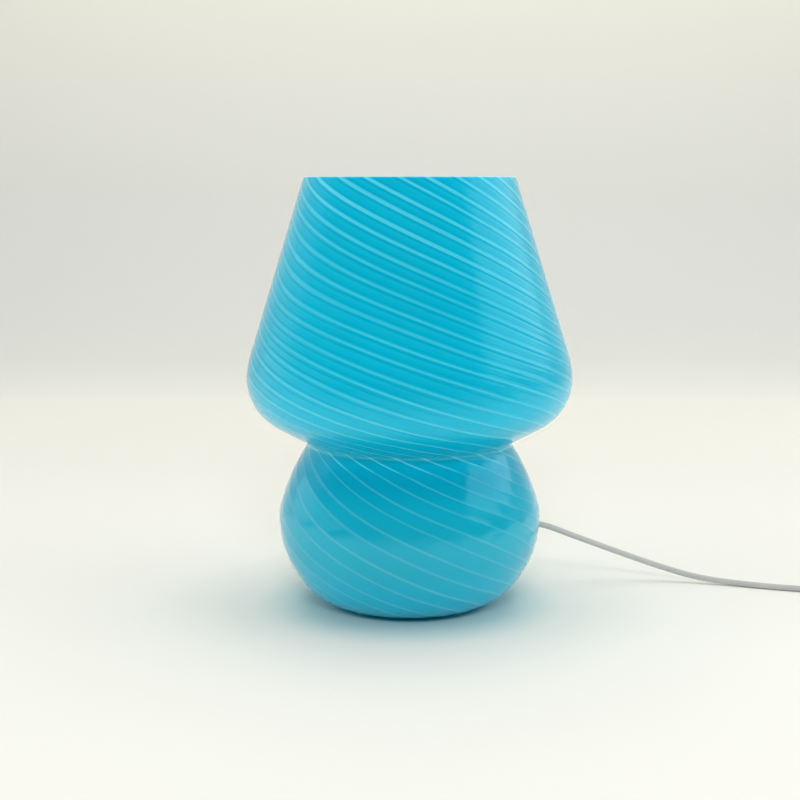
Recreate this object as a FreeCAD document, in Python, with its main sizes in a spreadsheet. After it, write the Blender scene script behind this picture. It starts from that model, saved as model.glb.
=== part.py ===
"""Mushroom table lamp: one blown glass body, an E14 bulb on a neck bracket, a corded rocker switch.

Millimetres. The origin is under the middle of the foot, +Z is the lamp's axis and the cord
leaves the glass towards +X.
"""
import FreeCAD, Part
import math
import os
import re
import Sketcher
from FreeCAD import Placement, Rotation, Vector

# Driving dimensions, by piece
SIZES = {
    "glass body": {
        "glass_wall": 3.0,
        "floor_thickness": 3.6,
        "lamp_height": 238.0,
        "foot_radius": 41.1,
        "foot_lean": 13.0,
        "foot_curve_radius": 34.0,
        "foot_curve_turn": 35.5,
        "bowl_curve_radius": 56.9,
        "belly_curve_radius": 29.5,
        "belly_curve_turn": 16.0,
        "upper_curve_radius": 119.2,
        "throat_lean": 31.9,
        "throat_length": 2.0,
        "neck_curve_radius": 2.7,
        "underside_lean": 28.6,
        "underside_length": 18.75,
        "shoulder_curve_radius": 29.2,
        "crown_curve_radius": 68.5,
        "crown_turn": 8.75,
        "flank_lean": 17.3,
        "punt_radius": 30.5,
        "punt_height": 5.0,
        "rim_chamfer": 0.4,
    },
    "foot pads": {
        "pad_height": 1.2,
        "pad_radius": 4.0,
        "pad_circle_radius": 35.8,
        "pad_count": 4,
    },
    "cord hole and grommet": {
        "exit_azimuth": 18.0,
        "exit_height": 39.5,
        "hole_radius": 4.0,
        "grommet_flange_radius": 5.6,
        "grommet_lip": 1.8,
        "grommet_play": 0.5,
        "stop_radius": 4.6,
        "stop_length": 4.0,
        "stop_screw_radius": 1.25,
    },
    "neck bracket": {
        "strip_thickness": 1.5,
        "arm_width": 10.0,
        "arm_count": 3,
        "hub_radius": 17.0,
        "spider_reach": 63.0,
        "clamp_drop": 10.5,
        "clamp_hub_radius": 9.5,
        "cap_wall": 1.2,
        "cap_length": 11.0,
        "cap_foot": 0.8,
        "seat_gap": 0.25,
        "nipple_radius": 5.0,
        "nipple_bore": 3.5,
        "nipple_tail": 3.0,
        "nipple_grip": 7.5,
        "thread_play": 0.05,
        "hole_play": 0.2,
        "nut_height": 3.5,
        "nut_radius": 8.08,
        "washer_radius": 8.6,
        "washer_thickness": 0.6,
        "bush_flange_radius": 6.6,
        "bush_flange": 1.5,
        "bush_spigot": 4.0,
    },
    "lampholder": {
        "holder_gap": 0.3,
        "holder_radius": 14.0,
        "holder_wall": 1.6,
        "collar_radius": 7.5,
        "collar_height": 8.0,
        "cap_rim_height": 22.0,
        "lap_height": 3.0,
        "lap_wall": 0.8,
        "insert_base": 15.0,
        "insert_height": 9.0,
        "holder_height": 49.0,
        "mouth_radius": 10.4,
        "mouth_depth": 4.0,
        "sleeve_radius": 7.9,
        "sleeve_height": 20.0,
        "holder_play": 0.1,
        "terminal_offset": 7.5,
        "terminal_width": 5.0,
        "terminal_depth": 5.0,
        "terminal_height": 6.5,
        "terminal_play": 0.3,
        "terminal_screw_radius": 1.25,
        "wire_radius": 0.8,
        "leaf_width": 4.0,
        "leaf_thickness": 0.4,
        "lock_screw_radius": 1.5,
        "lock_screw_length": 3.6,
    },
    "bulb": {
        "contact_height": 26.0,
        "contact_gap": 0.1,
        "contact_radius": 2.6,
        "contact_length": 1.6,
        "insulator_depth": 2.5,
        "thread_pitch": 2.82,
        "thread_root": 6.145,
        "thread_crest": 6.945,
        "thread_half_width": 0.78,
        "thread_clearance": 0.15,
        "thread_start": 7.0,
        "thread_turns": 4,
        "cap_height": 22.0,
        "cap_bottom": 4.7,
        "cap_sheet": 0.5,
        "cap_flange_radius": 7.4,
        "globe_radius": 22.5,
        "globe_wall": 1.2,
        "bulb_length": 80.0,
        "globe_seat": 15.0,
        "housing_radius": 17.6,
        "housing_wall": 1.4,
        "housing_curve_radius": 40.0,
        "board_radius": 14.6,
        "board_thickness": 1.2,
        "chip_length": 3.5,
        "chip_width": 2.8,
        "chip_height": 0.7,
        "chip_circle_radius": 10.0,
        "chip_count": 8,
        "driver_width": 10.0,
        "driver_bottom": 25.0,
        "driver_gap": 0.8,
    },
    "cord": {
        "cord_radius": 1.7,
        "cord_play": 0.05,
        "coil_outer_radius": 25.0,
        "coil_inner_radius": 14.0,
        "coil_height": 14.4,
        "coil_edge": 2.4,
        "coil_x": 356.0,
        "coil_y": -66.0,
        "tie_width": 8.0,
        "tie_thickness": 0.7,
        "tie_gap": 0.3,
        "tie_azimuth": 100.0,
    },
    "switch": {
        "switch_x": 318.0,
        "switch_y": -2.0,
        "switch_yaw": -8.0,
        "case_length": 58.0,
        "case_width": 22.0,
        "case_corner": 6.0,
        "base_height": 7.5,
        "case_height": 15.5,
        "case_wall": 1.6,
        "case_edge": 1.8,
        "boot_hole_radius": 3.1,
        "boot_length": 10.0,
        "boot_tip_radius": 2.3,
        "boot_flange_radius": 4.3,
        "boot_flange": 1.4,
        "boot_play": 0.1,
        "window_length": 20.0,
        "window_width": 11.0,
        "pivot_height": 12.4,
        "pivot_radius": 1.4,
        "pivot_play": 0.05,
        "ear_thickness": 1.6,
        "rocker_length": 18.4,
        "rocker_width": 10.2,
        "rocker_peak": 4.3,
        "rocker_valley": 2.7,
        "rocker_tilt": 10.0,
        "plunger_radius": 1.1,
        "plunger_reach": 6.85,
        "plunger_guide_radius": 2.4,
        "plunger_guide_reach": 4.0,
        "plunger_top": 1.0,
        "plunger_bore_top": 1.4,
        "spring_wire_radius": 0.2,
        "spring_pitch": 0.75,
        "bridge_top": 5.5,
        "bridge_tilt": 6.0,
        "bridge_half": 8.0,
        "bridge_width": 4.0,
        "bridge_sheet": 0.6,
        "bridge_pivot_radius": 0.5,
        "button_radius": 1.2,
        "button_height": 0.6,
        "button_offset": 6.8,
        "block_offset": 12.5,
        "block_row": 5.6,
        "block_length": 6.0,
        "block_width": 4.2,
        "block_height": 5.0,
        "block_screw_radius": 1.1,
        "block_screw_head": 1.7,
        "strap_width": 2.0,
        "strap_sheet": 0.8,
        "case_screw_x": 24.0,
        "case_screw_y": 6.2,
        "case_screw_radius": 1.25,
        "case_screw_head_radius": 2.1,
        "case_screw_recess": 2.4,
        "case_boss_radius": 2.6,
        "saddle_x": 20.0,
        "saddle_width": 2.2,
        "saddle_half": 7.4,
        "saddle_screw_y": 4.6,
        "saddle_screw_radius": 1.0,
        "saddle_shoulder": 3.0,
        "saddle_edge_height": 2.4,
        "saddle_top_height": 4.4,
        "sheath_end_x": 18.6,
    },
    "plug": {
        "plug_x": 268.0,
        "plug_y": -87.6,
        "plug_yaw": 180.0,
        "plug_width": 35.3,
        "plug_thickness": 13.7,
        "plug_length": 30.0,
        "plug_shoulder": 13.0,
        "plug_neck_width": 11.0,
        "plug_edge": 3.0,
        "plug_tail_length": 20.0,
        "plug_tail_root": 4.4,
        "plug_tail_tip": 2.5,
        "pin_radius": 2.0,
        "pin_length": 19.0,
        "pin_pitch": 18.6,
        "pin_shank_radius": 1.3,
        "sleeve_outer_radius": 1.7,
        "sleeve_length": 10.0,
        "carrier_length": 9.0,
        "carrier_width": 27.0,
        "carrier_thickness": 7.0,
        "carrier_corner": 2.0,
        "wire_space": 6.0,
        "plug_play": 0.05,
    },
}

doc = FreeCAD.newDocument("MushroomLamp")
sheet = doc.addObject("Spreadsheet::Sheet", "Sizes")


def fill_sheet():
    """Write every driving dimension to the sheet, one alias a row."""
    row = 1
    for group, sizes in SIZES.items():
        sheet.set(f"A{row}", group)
        row += 1
        for name, number in sizes.items():
            sheet.set(f"A{row}", name)
            sheet.set(f"B{row}", str(number))
            sheet.setAlias(f"B{row}", name)
            row += 1
    doc.recompute()


fill_sheet()
ALIASES = {name for sizes in SIZES.values() for name in sizes}


def full(text):
    """Turn bare size names into references to the sheet."""
    return re.sub(r"(?<![\w.])[a-z][a-z_]*\w*(?![\w.])",
                  lambda m: "Sizes." + m.group(0) if m.group(0) in ALIASES else m.group(0), str(text))


def value(text):
    """Work out an expression of size names."""
    result = sheet.evalExpression(full(text))
    return float(getattr(result, "Value", result))


def bind(target, prop, text):
    target.setExpression(prop, full(text))


def at(x="0", y="0", z="0", yaw="0", pitch="0", roll="0"):
    """A placement as an expression: a point, then turns about Z, Y and X in degrees."""
    return (f"create(<<placement>>; create(<<vector>>; {x}; {y}; {z}); "
            f"create(<<rotation>>; {yaw}; {pitch}; {roll}))")


PARTS = []


def new_body(label, place=None, groups=False):
    """An empty body with its node name, and its placement bound to the sheet."""
    body = doc.addObject("PartDesign::Body", label)
    body.Label = label
    body.AllowCompound = groups
    if place:
        bind(body, "Placement", place)
    PARTS.append(body)
    return body


def origin_feature(body, role):
    return next(f for f in body.Origin.OriginFeatures if f.Role == role)


def new_sketch(body, role="XZ_Plane", offset=None):
    """A sketch on one of the body's own planes, moved along its normal by offset."""
    sketch = body.newObject("Sketcher::SketchObject", body.Name + "_sketch")
    sketch.AttachmentSupport = (origin_feature(body, role), "")
    sketch.MapMode = "FlatFace"
    if offset is not None:
        bind(sketch, "AttachmentOffset.Base.z", offset)
    return sketch


def dimension(sketch, constraint, text):
    """Add a constraint and bind it to an expression."""
    index = sketch.addConstraint(constraint)
    name = f"size{index}"
    sketch.renameConstraint(index, name)
    bind(sketch, f"Constraints.{name}", text)


def pin_point(sketch, edge, end, x, y):
    """Fix a point of a sketch by its two coordinates."""
    for kind, text, axis in (("DistanceX", x, -2), ("DistanceY", y, -1)):
        if str(text) == "0":
            sketch.addConstraint(Sketcher.Constraint("PointOnObject", edge, end, axis))
        else:
            dimension(sketch, Sketcher.Constraint(kind, -1, 1, edge, end, value(text)), text)


def outline(sketch, points, arcs=None):
    """A closed outline through points. arcs[i] is (radius, side) for the edge that leaves point i,
    bulging to the left (+1) or right (-1) of its direction."""
    arcs = arcs or {}
    places = [Vector(value(x), value(y), 0) for x, y in points]
    count = len(points)
    first = sketch.GeometryCount
    ends = []
    for i in range(count):
        a, b = places[i], places[(i + 1) % count]
        if i in arcs:
            radius, side = value(arcs[i][0]), arcs[i][1]
            half = (b - a) * 0.5
            normal = Vector(-half.y, half.x, 0).normalize() * side
            middle = a + half + normal * (radius - math.sqrt(radius ** 2 - half.Length ** 2))
            sketch.addGeometry(Part.Arc(a, middle, b), False)
            ends.append((1, 2) if side < 0 else (2, 1))
        else:
            sketch.addGeometry(Part.LineSegment(a, b), False)
            ends.append((1, 2))
    for i in range(count):
        after = (i + 1) % count
        sketch.addConstraint(Sketcher.Constraint("Coincident", first + i, ends[i][1],
                                                 first + after, ends[after][0]))
    for i, (x, y) in enumerate(points):
        pin_point(sketch, first + i, ends[i][0], x, y)
        if i in arcs:
            dimension(sketch, Sketcher.Constraint("Radius", first + i, value(arcs[i][0])), arcs[i][0])
    return first


def rectangle(sketch, x0, x1, y0, y1):
    return outline(sketch, [(x0, y0), (x1, y0), (x1, y1), (x0, y1)])


def rounded_rectangle(sketch, length, width, corner):
    """A rectangle about the origin with four round corners."""
    a, b = f"({length}) / 2", f"({width}) / 2"
    e, f = f"({a} - ({corner}))", f"({b} - ({corner}))"
    points = [(f"-{e}", f"-{b}"), (e, f"-{b}"), (a, f"-{f}"), (a, f),
              (e, b), (f"-{e}", b), (f"-{a}", f), (f"-{a}", f"-{f}")]
    return outline(sketch, points, {i: (corner, -1) for i in (1, 3, 5, 7)})


def circle(sketch, x, y, radius):
    edge = sketch.addGeometry(Part.Circle(Vector(value(x), value(y), 0), Vector(0, 0, 1), value(radius)), False)
    pin_point(sketch, edge, 3, x, y)
    dimension(sketch, Sketcher.Constraint("Radius", edge, value(radius)), radius)


def feature(body, kind, profile, **settings):
    """A feature made from a sketch. Text settings are bound, others are set."""
    made = body.newObject(f"PartDesign::{kind}", f"{body.Name}_{kind.lower()}")
    if profile is not None:
        made.Profile = profile
    for name, setting in settings.items():
        if isinstance(setting, str) and name in ("Length", "Angle", "Pitch", "Height", "Value", "Radius", "Size"):
            bind(made, name, setting)
        else:
            setattr(made, name, setting)
    return made


def turned(body, points, arcs=None, role="XZ_Plane", axis="V_Axis", kind="Revolution"):
    """A shape turned about an axis of its sketch."""
    sketch = new_sketch(body, role)
    outline(sketch, points, arcs)
    return feature(body, kind, sketch, ReferenceAxis=(sketch, [axis]))


def cut_through(body, sketch, **settings):
    """Cut a sketch through everything, both ways."""
    return feature(body, "Pocket", sketch, Type="ThroughAll", SideType="Symmetric", **settings)


def pad_between(body, draw, low, high, role="XY_Plane"):
    """Pad what draw puts in a sketch from one height to another."""
    sketch = new_sketch(body, role, low)
    draw(sketch)
    return feature(body, "Pad", sketch, Length=f"({high}) - ({low})")


def cut_between(body, draw, low, high, role="XY_Plane"):
    """Cut what draw puts in a sketch from one height to another."""
    sketch = new_sketch(body, role, low)
    draw(sketch)
    return feature(body, "Pocket", sketch, Length=f"({high}) - ({low})", Reversed=True)


def ring_of(body, originals, count):
    """Repeat features about the body's Z axis."""
    pattern = body.newObject("PartDesign::PolarPattern", body.Name + "_pattern")
    pattern.Originals = originals
    pattern.Axis = (origin_feature(body, "Z_Axis"), [""])
    pattern.Angle = 360
    bind(pattern, "Occurrences", count)
    body.Tip = pattern
    return pattern


def mirrored(body, originals, role):
    """Repeat features in one of the body's own planes."""
    pattern = body.newObject("PartDesign::Mirrored", body.Name + "_mirror")
    pattern.Originals = originals
    pattern.MirrorPlane = (origin_feature(body, role), [""])
    body.Tip = pattern
    return pattern


def edges_where(made, test):
    """Names of the edges of a feature that a test picks."""
    doc.recompute()
    return [f"Edge{i + 1}" for i, edge in enumerate(made.Shape.Edges) if test(edge)]


def dress(body, kind, made, test, **settings):
    """Fillet or chamfer the edges that a test picks."""
    names = edges_where(made, test)
    return feature(body, kind, None, Base=(made, names), **settings)


# Glass body: one chain of tangent arcs and lines from the foot to the rim, turned and shelled

CHAIN = [
    ("arc", "foot_curve_radius", "foot_curve_turn", 1),
    ("arc", "bowl_curve_radius", "90 - foot_lean - foot_curve_turn", 1),
    ("arc", "belly_curve_radius", "belly_curve_turn", 1),
    ("arc", "upper_curve_radius", "throat_lean - belly_curve_turn", 1),
    ("line", "throat_length", None, 0),
    ("arc", "neck_curve_radius", "90 + throat_lean - underside_lean", -1),
    ("line", "underside_length", None, 0),
    ("arc", "shoulder_curve_radius", "90 + flank_lean - crown_turn - underside_lean", 1),
    ("arc", "crown_curve_radius", "crown_turn", 1),
    ("flank", "lamp_height", None, 0),
]
BOWL, UPPER, NECK, UNDERSIDE, SHOULDER, FLANK = 1, 3, 5, 6, 7, 9


def link_radius(text, side, inset):
    """The radius of an arc of the chain, or of the same arc on the inner face."""
    if inset is None:
        return text
    return f"{text} - {inset}" if side > 0 else f"{text} + {inset}"


def trace_chain(sketch, start, inset=None):
    """Draw the chain. Each link starts where, and in the direction in which, the last one ends."""
    x, y, angle = value(start[0]), value(start[1]), math.radians(value("foot_lean"))
    ends = []
    for kind, text, turn, side in CHAIN:
        if kind == "arc":
            radius, sweep = value(link_radius(text, side, inset)), math.radians(value(turn))
            centre = Vector(x - side * radius * math.sin(angle), y + side * radius * math.cos(angle), 0)
            after = angle + side * sweep
            on_arc = [centre + Vector(math.sin(a), -math.cos(a), 0) * (side * radius)
                      for a in (angle, (angle + after) / 2, after)]
            sketch.addGeometry(Part.Arc(*on_arc), False)
            ends.append((1, 2) if side > 0 else (2, 1))
            x, y, angle = on_arc[2].x, on_arc[2].y, after
        else:
            length = value(text) if kind == "line" else (value(text) - y) / math.sin(angle)
            goal = Vector(x + length * math.cos(angle), y + length * math.sin(angle), 0)
            sketch.addGeometry(Part.LineSegment(Vector(x, y, 0), goal), False)
            ends.append((1, 2))
            x, y = goal.x, goal.y
    return ends, x


def bind_chain(sketch, ends, start, inset=None):
    """Constrain the chain by its radii, turns and lengths."""
    pin_point(sketch, 0, 1, *start)
    first_centre = f"{start[0]} - ({link_radius('foot_curve_radius', 1, inset)}) * sin(foot_lean)"
    dimension(sketch, Sketcher.Constraint("DistanceX", -1, 1, 0, 3, value(first_centre)), first_centre)
    for i, (kind, text, turn, side) in enumerate(CHAIN):
        if i:
            sketch.addConstraint(Sketcher.Constraint("Tangent", i - 1, ends[i - 1][1], i, ends[i][0]))
        if kind == "arc":
            radius = link_radius(text, side, inset)
            dimension(sketch, Sketcher.Constraint("Radius", i, value(radius)), radius)
            dimension(sketch, Sketcher.Constraint("Angle", i, math.radians(value(turn))), turn)
        elif kind == "line":
            dimension(sketch, Sketcher.Constraint("Distance", i, value(text)), text)
        else:
            dimension(sketch, Sketcher.Constraint("DistanceY", -1, 1, i, 2, value(text)), text)


def glass_face(body, start, floor_edge, crown, inset=None):
    """The closed outline of the glass's outside, or of the hollow in it."""
    sketch = new_sketch(body)
    ends, rim_x = trace_chain(sketch, start, inset)
    bind_chain(sketch, ends, start, inset)
    rim_y, crown_y = value("lamp_height"), value(crown)
    edge_x, edge_y = value(floor_edge[0]), value(floor_edge[1])
    bulge = Vector(edge_x / 2, edge_y + (crown_y - edge_y) * 0.75, 0)
    rim, middle, punt, floor = (sketch.addGeometry(g, False) for g in (
        Part.LineSegment(Vector(rim_x, rim_y, 0), Vector(0, rim_y, 0)),
        Part.LineSegment(Vector(0, rim_y, 0), Vector(0, crown_y, 0)),
        Part.Arc(Vector(edge_x, edge_y, 0), bulge, Vector(0, crown_y, 0)),
        Part.LineSegment(Vector(edge_x, edge_y, 0), Vector(value(start[0]), value(start[1]), 0)),
    ))
    for a, a_end, b, b_end in ((FLANK, 2, rim, 1), (rim, 2, middle, 1), (middle, 2, punt, 2),
                               (punt, 1, floor, 1), (floor, 2, 0, 1)):
        sketch.addConstraint(Sketcher.Constraint("Coincident", a, a_end, b, b_end))
    pin_point(sketch, rim, 2, "0", "lamp_height")
    pin_point(sketch, middle, 2, "0", crown)
    pin_point(sketch, floor, 1, *floor_edge)
    sketch.addConstraint(Sketcher.Constraint("PointOnObject", punt, 3, -2))
    return sketch


def read_out(sketch, name, edge, end):
    """Name the radius and the height of a sketch point, so that other pieces can follow it."""
    for kind, suffix in (("DistanceX", "radius"), ("DistanceY", "height")):
        index = sketch.addConstraint(Sketcher.Constraint(kind, -1, 1, edge, end, 1.0))
        sketch.setDriving(index, False)
        sketch.renameConstraint(index, f"{name}_{suffix}")


glass = new_body("glass_body", at(yaw="exit_azimuth"))
outer_face = glass_face(glass, ("foot_radius", "pad_height"), ("punt_radius", "pad_height"),
                        "pad_height + punt_height")
for name, edge, end in (("bowl_centre", BOWL, 3), ("upper_centre", UPPER, 3), ("neck_centre", NECK, 3),
                        ("underside_start", UNDERSIDE, 1), ("shoulder_centre", SHOULDER, 3)):
    read_out(outer_face, name, edge, end)
glass_solid = feature(glass, "Revolution", outer_face, ReferenceAxis=(outer_face, ["V_Axis"]))
hollow = glass_face(glass, ("foot_radius - glass_wall * sin(foot_lean)", "pad_height + glass_wall * cos(foot_lean)"),
                    ("punt_radius", "pad_height + floor_thickness"),
                    "pad_height + punt_height + floor_thickness", "glass_wall")
feature(glass, "Groove", hollow, ReferenceAxis=(hollow, ["V_Axis"]))
doc.recompute()


def glass_ref(name):
    return f"({outer_face.Name}.Constraints.{name} / 1mm)"


# Places on the glass that other pieces follow

BOWL_R, BOWL_Z = glass_ref("bowl_centre_radius"), glass_ref("bowl_centre_height")
UPPER_R, UPPER_Z = glass_ref("upper_centre_radius"), glass_ref("upper_centre_height")
UNDERSIDE_R, UNDERSIDE_Z = glass_ref("underside_start_radius"), glass_ref("underside_start_height")
NECK_Z = glass_ref("neck_centre_height")
EXIT_DIP = f"(asin(({BOWL_Z} - exit_height) / bowl_curve_radius) / 1deg)"
EXIT_R = f"({BOWL_R} + bowl_curve_radius * cos({EXIT_DIP}))"
EXIT_PLACE = at(f"{EXIT_R} * cos(exit_azimuth)", f"{EXIT_R} * sin(exit_azimuth)", "exit_height",
                "exit_azimuth", f"90 + {EXIT_DIP}")
SEAT_Z = (f"({UNDERSIDE_Z} + glass_wall * cos(underside_lean)"
          f" + (spider_reach - {UNDERSIDE_R} + glass_wall * sin(underside_lean)) * tan(underside_lean))")
ARM_Z = f"({SEAT_Z} + seat_gap + cap_wall - cap_foot)"
ARM_TOP = f"({ARM_Z} + strip_thickness)"
CLAMP_TOP = f"({NECK_Z} - clamp_drop)"
CLAMP_WALL_R = f"({UPPER_R} + sqrt((upper_curve_radius - glass_wall) ^ 2 - ({CLAMP_TOP} - {UPPER_Z}) ^ 2))"
CLAMP_REACH = f"sqrt(({CLAMP_WALL_R} - seat_gap) ^ 2 - (arm_width / 2 + cap_wall) ^ 2)"
CLAMP_STRIP_TOP = f"({CLAMP_TOP} - cap_wall)"
CLAMP_UNDER = f"({CLAMP_STRIP_TOP} - strip_thickness)"
LOWER_NUT_TOP = f"({CLAMP_UNDER} - washer_thickness)"
LOWER_NUT_UNDER = f"({LOWER_NUT_TOP} - nut_height)"
NIPPLE_UNDER = f"({LOWER_NUT_UNDER} - nipple_tail)"
UPPER_NUT_UNDER = f"({ARM_TOP} + washer_thickness)"
UPPER_NUT_TOP = f"({UPPER_NUT_UNDER} + nut_height)"
HOLDER_Z = f"({UPPER_NUT_TOP} + holder_gap)"
NIPPLE_TOP = f"({HOLDER_Z} + nipple_grip)"
BULB_Z = f"({HOLDER_Z} + contact_height)"

# The drilled hole for the cord, square to the wall

hole_sketch = new_sketch(glass)
INNER_END, OUTER_END = "3 * glass_wall", "2 * glass_wall"
hole_points = []
for along, across in ((f"-({INNER_END})", "0"), (OUTER_END, "0"), (OUTER_END, "hole_radius"),
                      (f"-({INNER_END})", "hole_radius")):
    hole_points.append((f"{EXIT_R} + ({along}) * cos({EXIT_DIP}) + {across} * sin({EXIT_DIP})",
                        f"exit_height - ({along}) * sin({EXIT_DIP}) + {across} * cos({EXIT_DIP})"))
outline(hole_sketch, hole_points)
hole = feature(glass, "Groove", hole_sketch, ReferenceAxis=(hole_sketch, ["Edge1"]))
dress(glass, "Chamfer", hole,
      lambda e: e.BoundBox.ZLength < 0.01 and abs(e.BoundBox.ZMin - value("lamp_height")) < 0.01,
      Size="rim_chamfer")


# Foot pads

pads = new_body("foot_pads", at(yaw="45"), groups=True)
pad = pad_between(pads, lambda s: circle(s, "pad_circle_radius", "0", "pad_radius"), "0", "pad_height")
ring_of(pads, [pad], "pad_count")


# Grommet in the glass and the stop that keeps the cord from being pulled out, along the hole's axis

BORE = "cord_radius + cord_play"
GRIP = "(glass_wall + grommet_play)"
grommet = new_body("cord_grommet", EXIT_PLACE)
turned(grommet, [(BORE, f"-({GRIP} + grommet_lip)"), ("grommet_flange_radius - 1", f"-({GRIP} + grommet_lip)"),
                 ("grommet_flange_radius", f"-({GRIP} + grommet_lip) + 1"), ("grommet_flange_radius", f"-{GRIP}"),
                 ("hole_radius - holder_play", f"-{GRIP}"), ("hole_radius - holder_play", "cord_play"),
                 ("grommet_flange_radius", "cord_play"), ("grommet_flange_radius", "grommet_lip / 2"),
                 ("grommet_flange_radius - 1.2", "grommet_lip"), (BORE, "grommet_lip")])
STOP_TOP = f"(-{GRIP} - grommet_lip - seat_gap)"
stop = new_body("cord_stop", EXIT_PLACE)
turned(stop, [(BORE, f"{STOP_TOP} - stop_length"), ("stop_radius", f"{STOP_TOP} - stop_length"),
              ("stop_radius", STOP_TOP), (BORE, STOP_TOP)])
screw_hole = new_sketch(stop, "YZ_Plane")
circle(screw_hole, "0", f"{STOP_TOP} - stop_length / 2", "stop_screw_radius + thread_play")
feature(stop, "Pocket", screw_hole, Length="2 * stop_radius", Reversed=True)
stop_screw = new_body("cord_stop_screw", EXIT_PLACE)
shank = new_sketch(stop_screw, "YZ_Plane", "cord_radius + seat_gap")
circle(shank, "0", f"{STOP_TOP} - stop_length / 2", "stop_screw_radius")
feature(stop_screw, "Pad", shank, Length="stop_radius - cord_radius + stop_screw_radius")
slot = new_sketch(stop_screw, "YZ_Plane", "stop_radius + stop_screw_radius + seat_gap")
rectangle(slot, "-stop_screw_radius * 2", "stop_screw_radius * 2",
          f"{STOP_TOP} - stop_length / 2 - leaf_thickness / 2", f"{STOP_TOP} - stop_length / 2 + leaf_thickness / 2")
feature(stop_screw, "Pocket", slot, Length="stop_screw_radius / 2")


# Neck bracket: a three-armed spider on the ledge, a clamp bar below the neck, silicone caps on both

spider = new_body("spider_bracket", at(yaw="90"))
pad_between(spider, lambda s: circle(s, "0", "0", "hub_radius"), ARM_Z, ARM_TOP)
arm = pad_between(spider, lambda s: rectangle(s, "0", "spider_reach - cap_wall", "-arm_width / 2", "arm_width / 2"),
                  ARM_Z, ARM_TOP)
ring_of(spider, [arm], "arm_count")
cut_between(spider, lambda s: circle(s, "0", "0", "nipple_radius + hole_play"), ARM_Z, ARM_TOP)

tips = new_body("spider_tips", at(yaw="90"), groups=True)
tip_outline = new_sketch(tips)
TIP_FLAT = f"{ARM_Z} - cap_wall"
outline(tip_outline, [("spider_reach - cap_length", TIP_FLAT),
                      ("spider_reach - cap_foot / tan(underside_lean)", TIP_FLAT),
                      ("spider_reach", f"{SEAT_Z} + seat_gap"),
                      ("spider_reach", f"{ARM_TOP} + cap_wall"),
                      ("spider_reach - cap_length", f"{ARM_TOP} + cap_wall")])
tip = feature(tips, "Pad", tip_outline, Length="arm_width + 2 * cap_wall", SideType="Symmetric")
tip_slot = new_sketch(tips)
rectangle(tip_slot, "spider_reach - cap_length - 1", "spider_reach - cap_wall", ARM_Z, ARM_TOP)
tip_cut = feature(tips, "Pocket", tip_slot, Length="arm_width", SideType="Symmetric")
ring_of(tips, [tip, tip_cut], "arm_count")

clamp = new_body("clamp_bar", at(yaw="90"))
pad_between(clamp, lambda s: circle(s, "0", "0", "clamp_hub_radius"), CLAMP_UNDER, CLAMP_STRIP_TOP)
pad_between(clamp, lambda s: rectangle(s, f"-({CLAMP_REACH} - cap_wall)", f"{CLAMP_REACH} - cap_wall",
                                       "-arm_width / 2", "arm_width / 2"), CLAMP_UNDER, CLAMP_STRIP_TOP)
cut_between(clamp, lambda s: circle(s, "0", "0", "nipple_radius + hole_play"), CLAMP_UNDER, CLAMP_STRIP_TOP)

clamp_tips = new_body("clamp_tips", at(yaw="90"), groups=True)
clamp_outline = new_sketch(clamp_tips)
rectangle(clamp_outline, f"{CLAMP_REACH} - cap_length", CLAMP_REACH, f"{CLAMP_UNDER} - cap_wall", CLAMP_TOP)
clamp_cap = feature(clamp_tips, "Pad", clamp_outline, Length="arm_width + 2 * cap_wall", SideType="Symmetric")
clamp_slot = new_sketch(clamp_tips)
rectangle(clamp_slot, f"{CLAMP_REACH} - cap_length - 1", f"{CLAMP_REACH} - cap_wall", CLAMP_UNDER, CLAMP_STRIP_TOP)
clamp_cut = feature(clamp_tips, "Pocket", clamp_slot, Length="arm_width", SideType="Symmetric")
mirrored(clamp_tips, [clamp_cap, clamp_cut], "YZ_Plane")


# Threaded nipple with its nuts, washers and cord bush

nipple = new_body("threaded_nipple")
turned(nipple, [("nipple_bore", NIPPLE_UNDER), ("nipple_radius", NIPPLE_UNDER),
                ("nipple_radius", NIPPLE_TOP), ("nipple_bore", NIPPLE_TOP)])


def hexagon(sketch, radius):
    outline(sketch, [(f"{radius} * cos({60 * i})", f"{radius} * sin({60 * i})") for i in range(6)])


def nut_outline(sketch):
    hexagon(sketch, "nut_radius")
    circle(sketch, "0", "0", "nipple_radius + thread_play")


def washer_outline(sketch):
    circle(sketch, "0", "0", "washer_radius")
    circle(sketch, "0", "0", "nipple_radius + hole_play")


nuts = new_body("nipple_nuts", groups=True)
washers = new_body("nipple_washers", groups=True)
for low, high in ((LOWER_NUT_UNDER, LOWER_NUT_TOP), (UPPER_NUT_UNDER, UPPER_NUT_TOP)):
    pad_between(nuts, nut_outline, low, high)
for low, high in ((LOWER_NUT_TOP, CLAMP_UNDER), (ARM_TOP, UPPER_NUT_UNDER)):
    pad_between(washers, washer_outline, low, high)

bush = new_body("nipple_bush")
BUSH_BORE = "cord_radius + hole_play"
turned(bush, [(f"{BUSH_BORE} + bush_flange / 2", f"{NIPPLE_UNDER} - bush_flange"),
              ("bush_flange_radius", f"{NIPPLE_UNDER} - bush_flange"),
              ("bush_flange_radius", NIPPLE_UNDER), ("nipple_bore - thread_play", NIPPLE_UNDER),
              ("nipple_bore - thread_play", f"{NIPPLE_UNDER} + bush_spigot"),
              (BUSH_BORE, f"{NIPPLE_UNDER} + bush_spigot"),
              (BUSH_BORE, f"{NIPPLE_UNDER} - bush_flange / 2")],
       {6: ("bush_flange / 2", 1)})


# Lampholder, in a frame at the bottom of its collar

HOLDER_PLACE = at(z=HOLDER_Z)
INNER_R = "(holder_radius - holder_wall)"
SHOULDER_Z = "(collar_height + holder_radius - collar_radius)"
LAP_R = "(holder_radius - lap_wall)"
INSERT_TOP = "(insert_base + insert_height)"

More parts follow.
